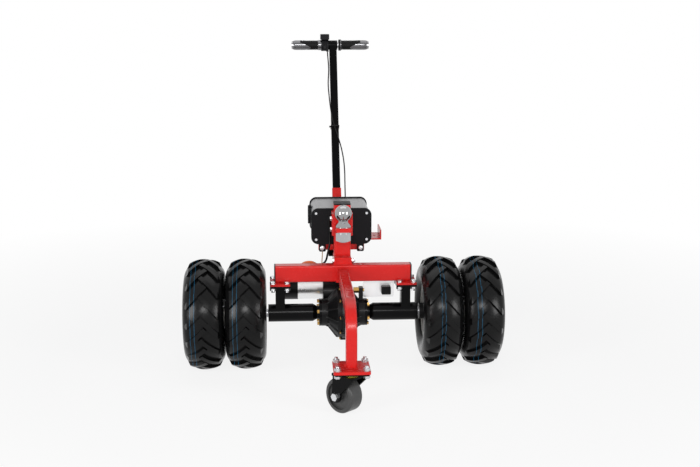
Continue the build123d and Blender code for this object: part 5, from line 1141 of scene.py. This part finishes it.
@dataclass
class GripTrim:
    """Bright shells on the bar's ends, inlays on the grips and a collar.

    Attributes:
        reach: radius of the shells and the inlays.
        inlay: length of an inlay along the grip.
        spread: half angle that an inlay loses towards its tip, in degrees.
        tip: half angle at its tip, in degrees.
        mouth: radius of a shell at the bar's end.
        steps: steps of a shell and of an inlay, an even number.
    """

    reach: float = 0.0162
    inlay: float = 0.036
    spread: float = 56.0
    tip: float = 5.0
    mouth: float = 0.0072
    steps: int = 12

    def shell(self, shape: bmesh.types.BMesh, start: float, end: float) -> None:
        """Add a rounded shell over one end of the bar.

        Args:
            shape: mesh that takes the shell.
            start: end of the grip across the dolly.
            end: end of the bar across the dolly.
        """
        length = end - start
        profile = [(start, 0.0141), (start, self.reach)]
        for step in range(self.steps + 1):
            share = step / self.steps
            radius = self.mouth + (self.reach - self.mouth) * (1.0 - share**3.2) ** 0.5
            profile.append((start + length * (0.30 + 0.70 * share), radius))
        lip = end + 0.0006 * length / abs(length)
        profile += [(lip, 0.0064), (lip, 0.0004)]
        lathe(shape, profile, BAR_PLACE, GRIP_SIDES)

    def wedge(self, shape: bmesh.types.BMesh, start: float, side: float, middle: float) -> None:
        """Add one tapering inlay that runs from a shell over the grip.

        Args:
            shape: mesh that takes the inlay.
            start: outer end of the grip across the dolly.
            side: minus one for the left end, one for the right end.
            middle: angle of its middle line below the front, in degrees.
        """
        last = self.steps
        layers = []
        for lift in (self.reach + 0.0001, self.reach - 0.0022):
            rows = []
            for step in range(last + 1):
                share = step / last
                half = radians(self.spread) * (1.0 - share**1.3) + radians(self.tip)
                across = start - side * self.inlay * share
                row = []
                for column in range(last + 1):
                    angle = radians(middle) + half * (column / (last / 2) - 1.0)
                    spot = (across, BAR_Y - lift * cos(angle), BAR_Z - lift * sin(angle))
                    row.append(shape.verts.new(spot))
                rows.append(row)
            layers.append(rows)
        for rows in layers:
            for near, far in zip(rows, rows[1:]):
                for column in range(last):
                    after = column + 1
                    shape.faces.new((near[column], near[after], far[after], far[column]))
        rims = []
        for rows in layers:
            rim = [row[0] for row in rows] + rows[last][1:]
            rim += [row[last] for row in rows[-2::-1]] + rows[0][-2:0:-1]
            rims.append(rim)
        outer, inner = rims
        for index, corner in enumerate(outer):
            other = (index + 1) % len(outer)
            shape.faces.new((corner, outer[other], inner[other], inner[index]))

    def build(self, shop: Shop) -> None:
        """Make the shells on the bar and the inlays on the grips."""
        low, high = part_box("handlebar")
        twist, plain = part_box("twist_grip"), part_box("plain_grip")
        shape = bmesh.new()
        self.shell(shape, twist[0][0] - 0.0004, low[0])
        self.shell(shape, plain[1][0], high[0])
        shop.piece("bar_end_shells", shape, GRIP_CHROME, "chassis")
        for name, body, start, side in (
            ("twist_grip_inlays", "throttle_grip", twist[0][0], -1.0),
            ("plain_grip_inlays", "chassis", plain[1][0], 1.0),
        ):
            shape = bmesh.new()
            self.wedge(shape, start, side, 30.0)
            self.wedge(shape, start, side, 210.0)
            shop.piece(name, shape, GRIP_CHROME, body)
        shape = bmesh.new()
        ring = [(0.0, 0.0166), (0.0, 0.0188), (0.0008, 0.0195)]
        ring += [(0.0022, 0.0195), (0.0030, 0.0188), (0.0030, 0.0166)]
        lathe(shape, ring, along_x((plain[0][0] + 0.0060, BAR_Y, BAR_Z)), GRIP_SIDES)
        shop.piece("grip_collar", shape, GRIP_CHROME, "chassis")


@dataclass
class Studio:
    """White world, soft lamps and the photograph's camera.

    Attributes:
        eye: camera place.
        yaw: turn to the right in radians.
        pitch: tilt down in radians.
        lens: focal length over the image's width.
        sensor: width of the sensor in millimetres.
        floor_size: half width of the floor.
        fade_start: distance at which the floor starts to turn white.
        fade_length: distance over which it does.
        near_white: share of white in the floor near the dolly.
    """

    eye: Point = (-0.1745, -3.2978, 1.0820)
    yaw: float = 0.0594
    pitch: float = 0.2019
    lens: float = 1132.9 / 700.0
    sensor: float = 36.0
    floor_size: float = 40.0
    fade_start: float = 0.9
    fade_length: float = 1.6
    near_white: float = 0.85

    def world(self) -> None:
        """White surround that lights softly."""
        world = bpy.data.worlds.new("studio")
        bpy.context.scene.world = world
        graph = Graph(world, "ShaderNodeOutputWorld")
        white = graph.value("ShaderNodeBackground", {}, {"Color": WHITE, "Strength": 1.0})
        sky = {"Color": (0.95, 0.97, 1.0, 1.0), "Strength": 0.16}
        soft = graph.value("ShaderNodeBackground", {}, sky)
        graph.finish(graph.value("ShaderNodeMixShader", {}, {0: graph.shown(), 1: soft, 2: white}))

    def floor(self) -> None:
        """Floor that shows white but keeps a faint shadow near the dolly."""
        shape = bmesh.new()
        bmesh.ops.create_grid(shape, x_segments=1, y_segments=1, size=self.floor_size)
        mesh = bpy.data.meshes.new("studio_floor")
        shape.to_mesh(mesh)
        shape.free()
        floor = bpy.data.objects.new("studio_floor", mesh)
        floor.location = (0.0, 0.0, -0.0005)
        bpy.context.collection.objects.link(floor)
        graph = Graph.of_material("studio_floor_white")
        matt = graph.value("ShaderNodeBsdfDiffuse", {}, {"Color": (0.86, 0.86, 0.86, 1.0)})
        glow = graph.value("ShaderNodeEmission", {}, {"Color": WHITE, "Strength": 1.0})
        across, along, _ = graph.axes()
        reach = (across * across + along * along) ** 0.5
        far = ((reach - self.fade_start) / self.fade_length).larger(0.0)
        far = 1.0 - (1.0 - far).larger(0.0)
        share = graph.shown() * (self.near_white + far * (1.0 - self.near_white))
        mixed = graph.value("ShaderNodeMixShader", {}, {0: share, 1: matt, 2: glow})
        mesh.materials.append(graph.finish(mixed))

    def lamp(self, name: str, place: Point, aim: Point, size: Spot, power: float) -> None:
        """One soft box lamp.

        Args:
            name: the lamp's name.
            place: where it stands.
            aim: what it points at.
            size: width and height of its face.
            power: its power in watts.
        """
        light = bpy.data.lights.new(name, "AREA")
        light.shape = "RECTANGLE"
        light.size, light.size_y = size
        light.energy = power
        made = bpy.data.objects.new(name, light)
        made.location = place
        made.rotation_euler = (Vector(aim) - Vector(place)).to_track_quat("-Z", "Y").to_euler()
        bpy.context.collection.objects.link(made)

    def camera(self) -> None:
        """Camera at the photograph's angle."""
        level = cos(self.pitch)
        forward = Vector((sin(self.yaw) * level, cos(self.yaw) * level, -sin(self.pitch)))
        right = Vector((cos(self.yaw), -sin(self.yaw), 0.0))
        up = right.cross(forward)
        data = bpy.data.cameras.new("photo_camera")
        data.sensor_fit = "HORIZONTAL"
        data.sensor_width = self.sensor
        data.lens = self.sensor * self.lens
        data.clip_end = 200.0
        made = bpy.data.objects.new("photo_camera", data)
        basis = Matrix((right, up, -forward)).transposed()
        made.matrix_world = Matrix.Translation(Vector(self.eye)) @ basis.to_4x4()
        bpy.context.collection.objects.link(made)
        bpy.context.scene.camera = made

    def build(self) -> None:
        """Set the studio up."""
        bpy.context.scene.view_settings.view_transform = "Standard"
        self.world()
        self.floor()
        self.lamp("top_box", (0.0, 0.6, 3.0), (0.0, 0.0, 0.2), (2.6, 1.8), 14.0)
        self.lamp("left_box", (-2.6, -2.4, 1.1), (0.0, 0.0, 0.3), (1.0, 1.5), 58.0)
        self.lamp("right_box", (2.6, -2.4, 1.1), (0.0, 0.0, 0.3), (1.0, 1.5), 50.0)
        self.lamp("front_box", (-0.2, -3.9, 1.9), (0.0, 0.0, 0.3), (1.5, 0.6), 50.0)
        self.camera()


def main() -> None:
    """Build the studio, dress the nodes and add the pieces."""
    logging.basicConfig(level=logging.INFO, format="%(name)s: %(message)s")
    Studio().build()
    shop = Shop()
    for finish, nodes in NODE_FINISHES:
        for node in nodes:
            shop.dress(node, finish)
    for trim in (
        Handle(),
        Welds(),
        CaseTrim(),
        StemTrim(),
        WheelTrim(),
        MotorTrim(),
        HousingTrim(),
        GripTrim(),
    ):
        trim.build(shop)


if __name__ == "__main__":
    main()
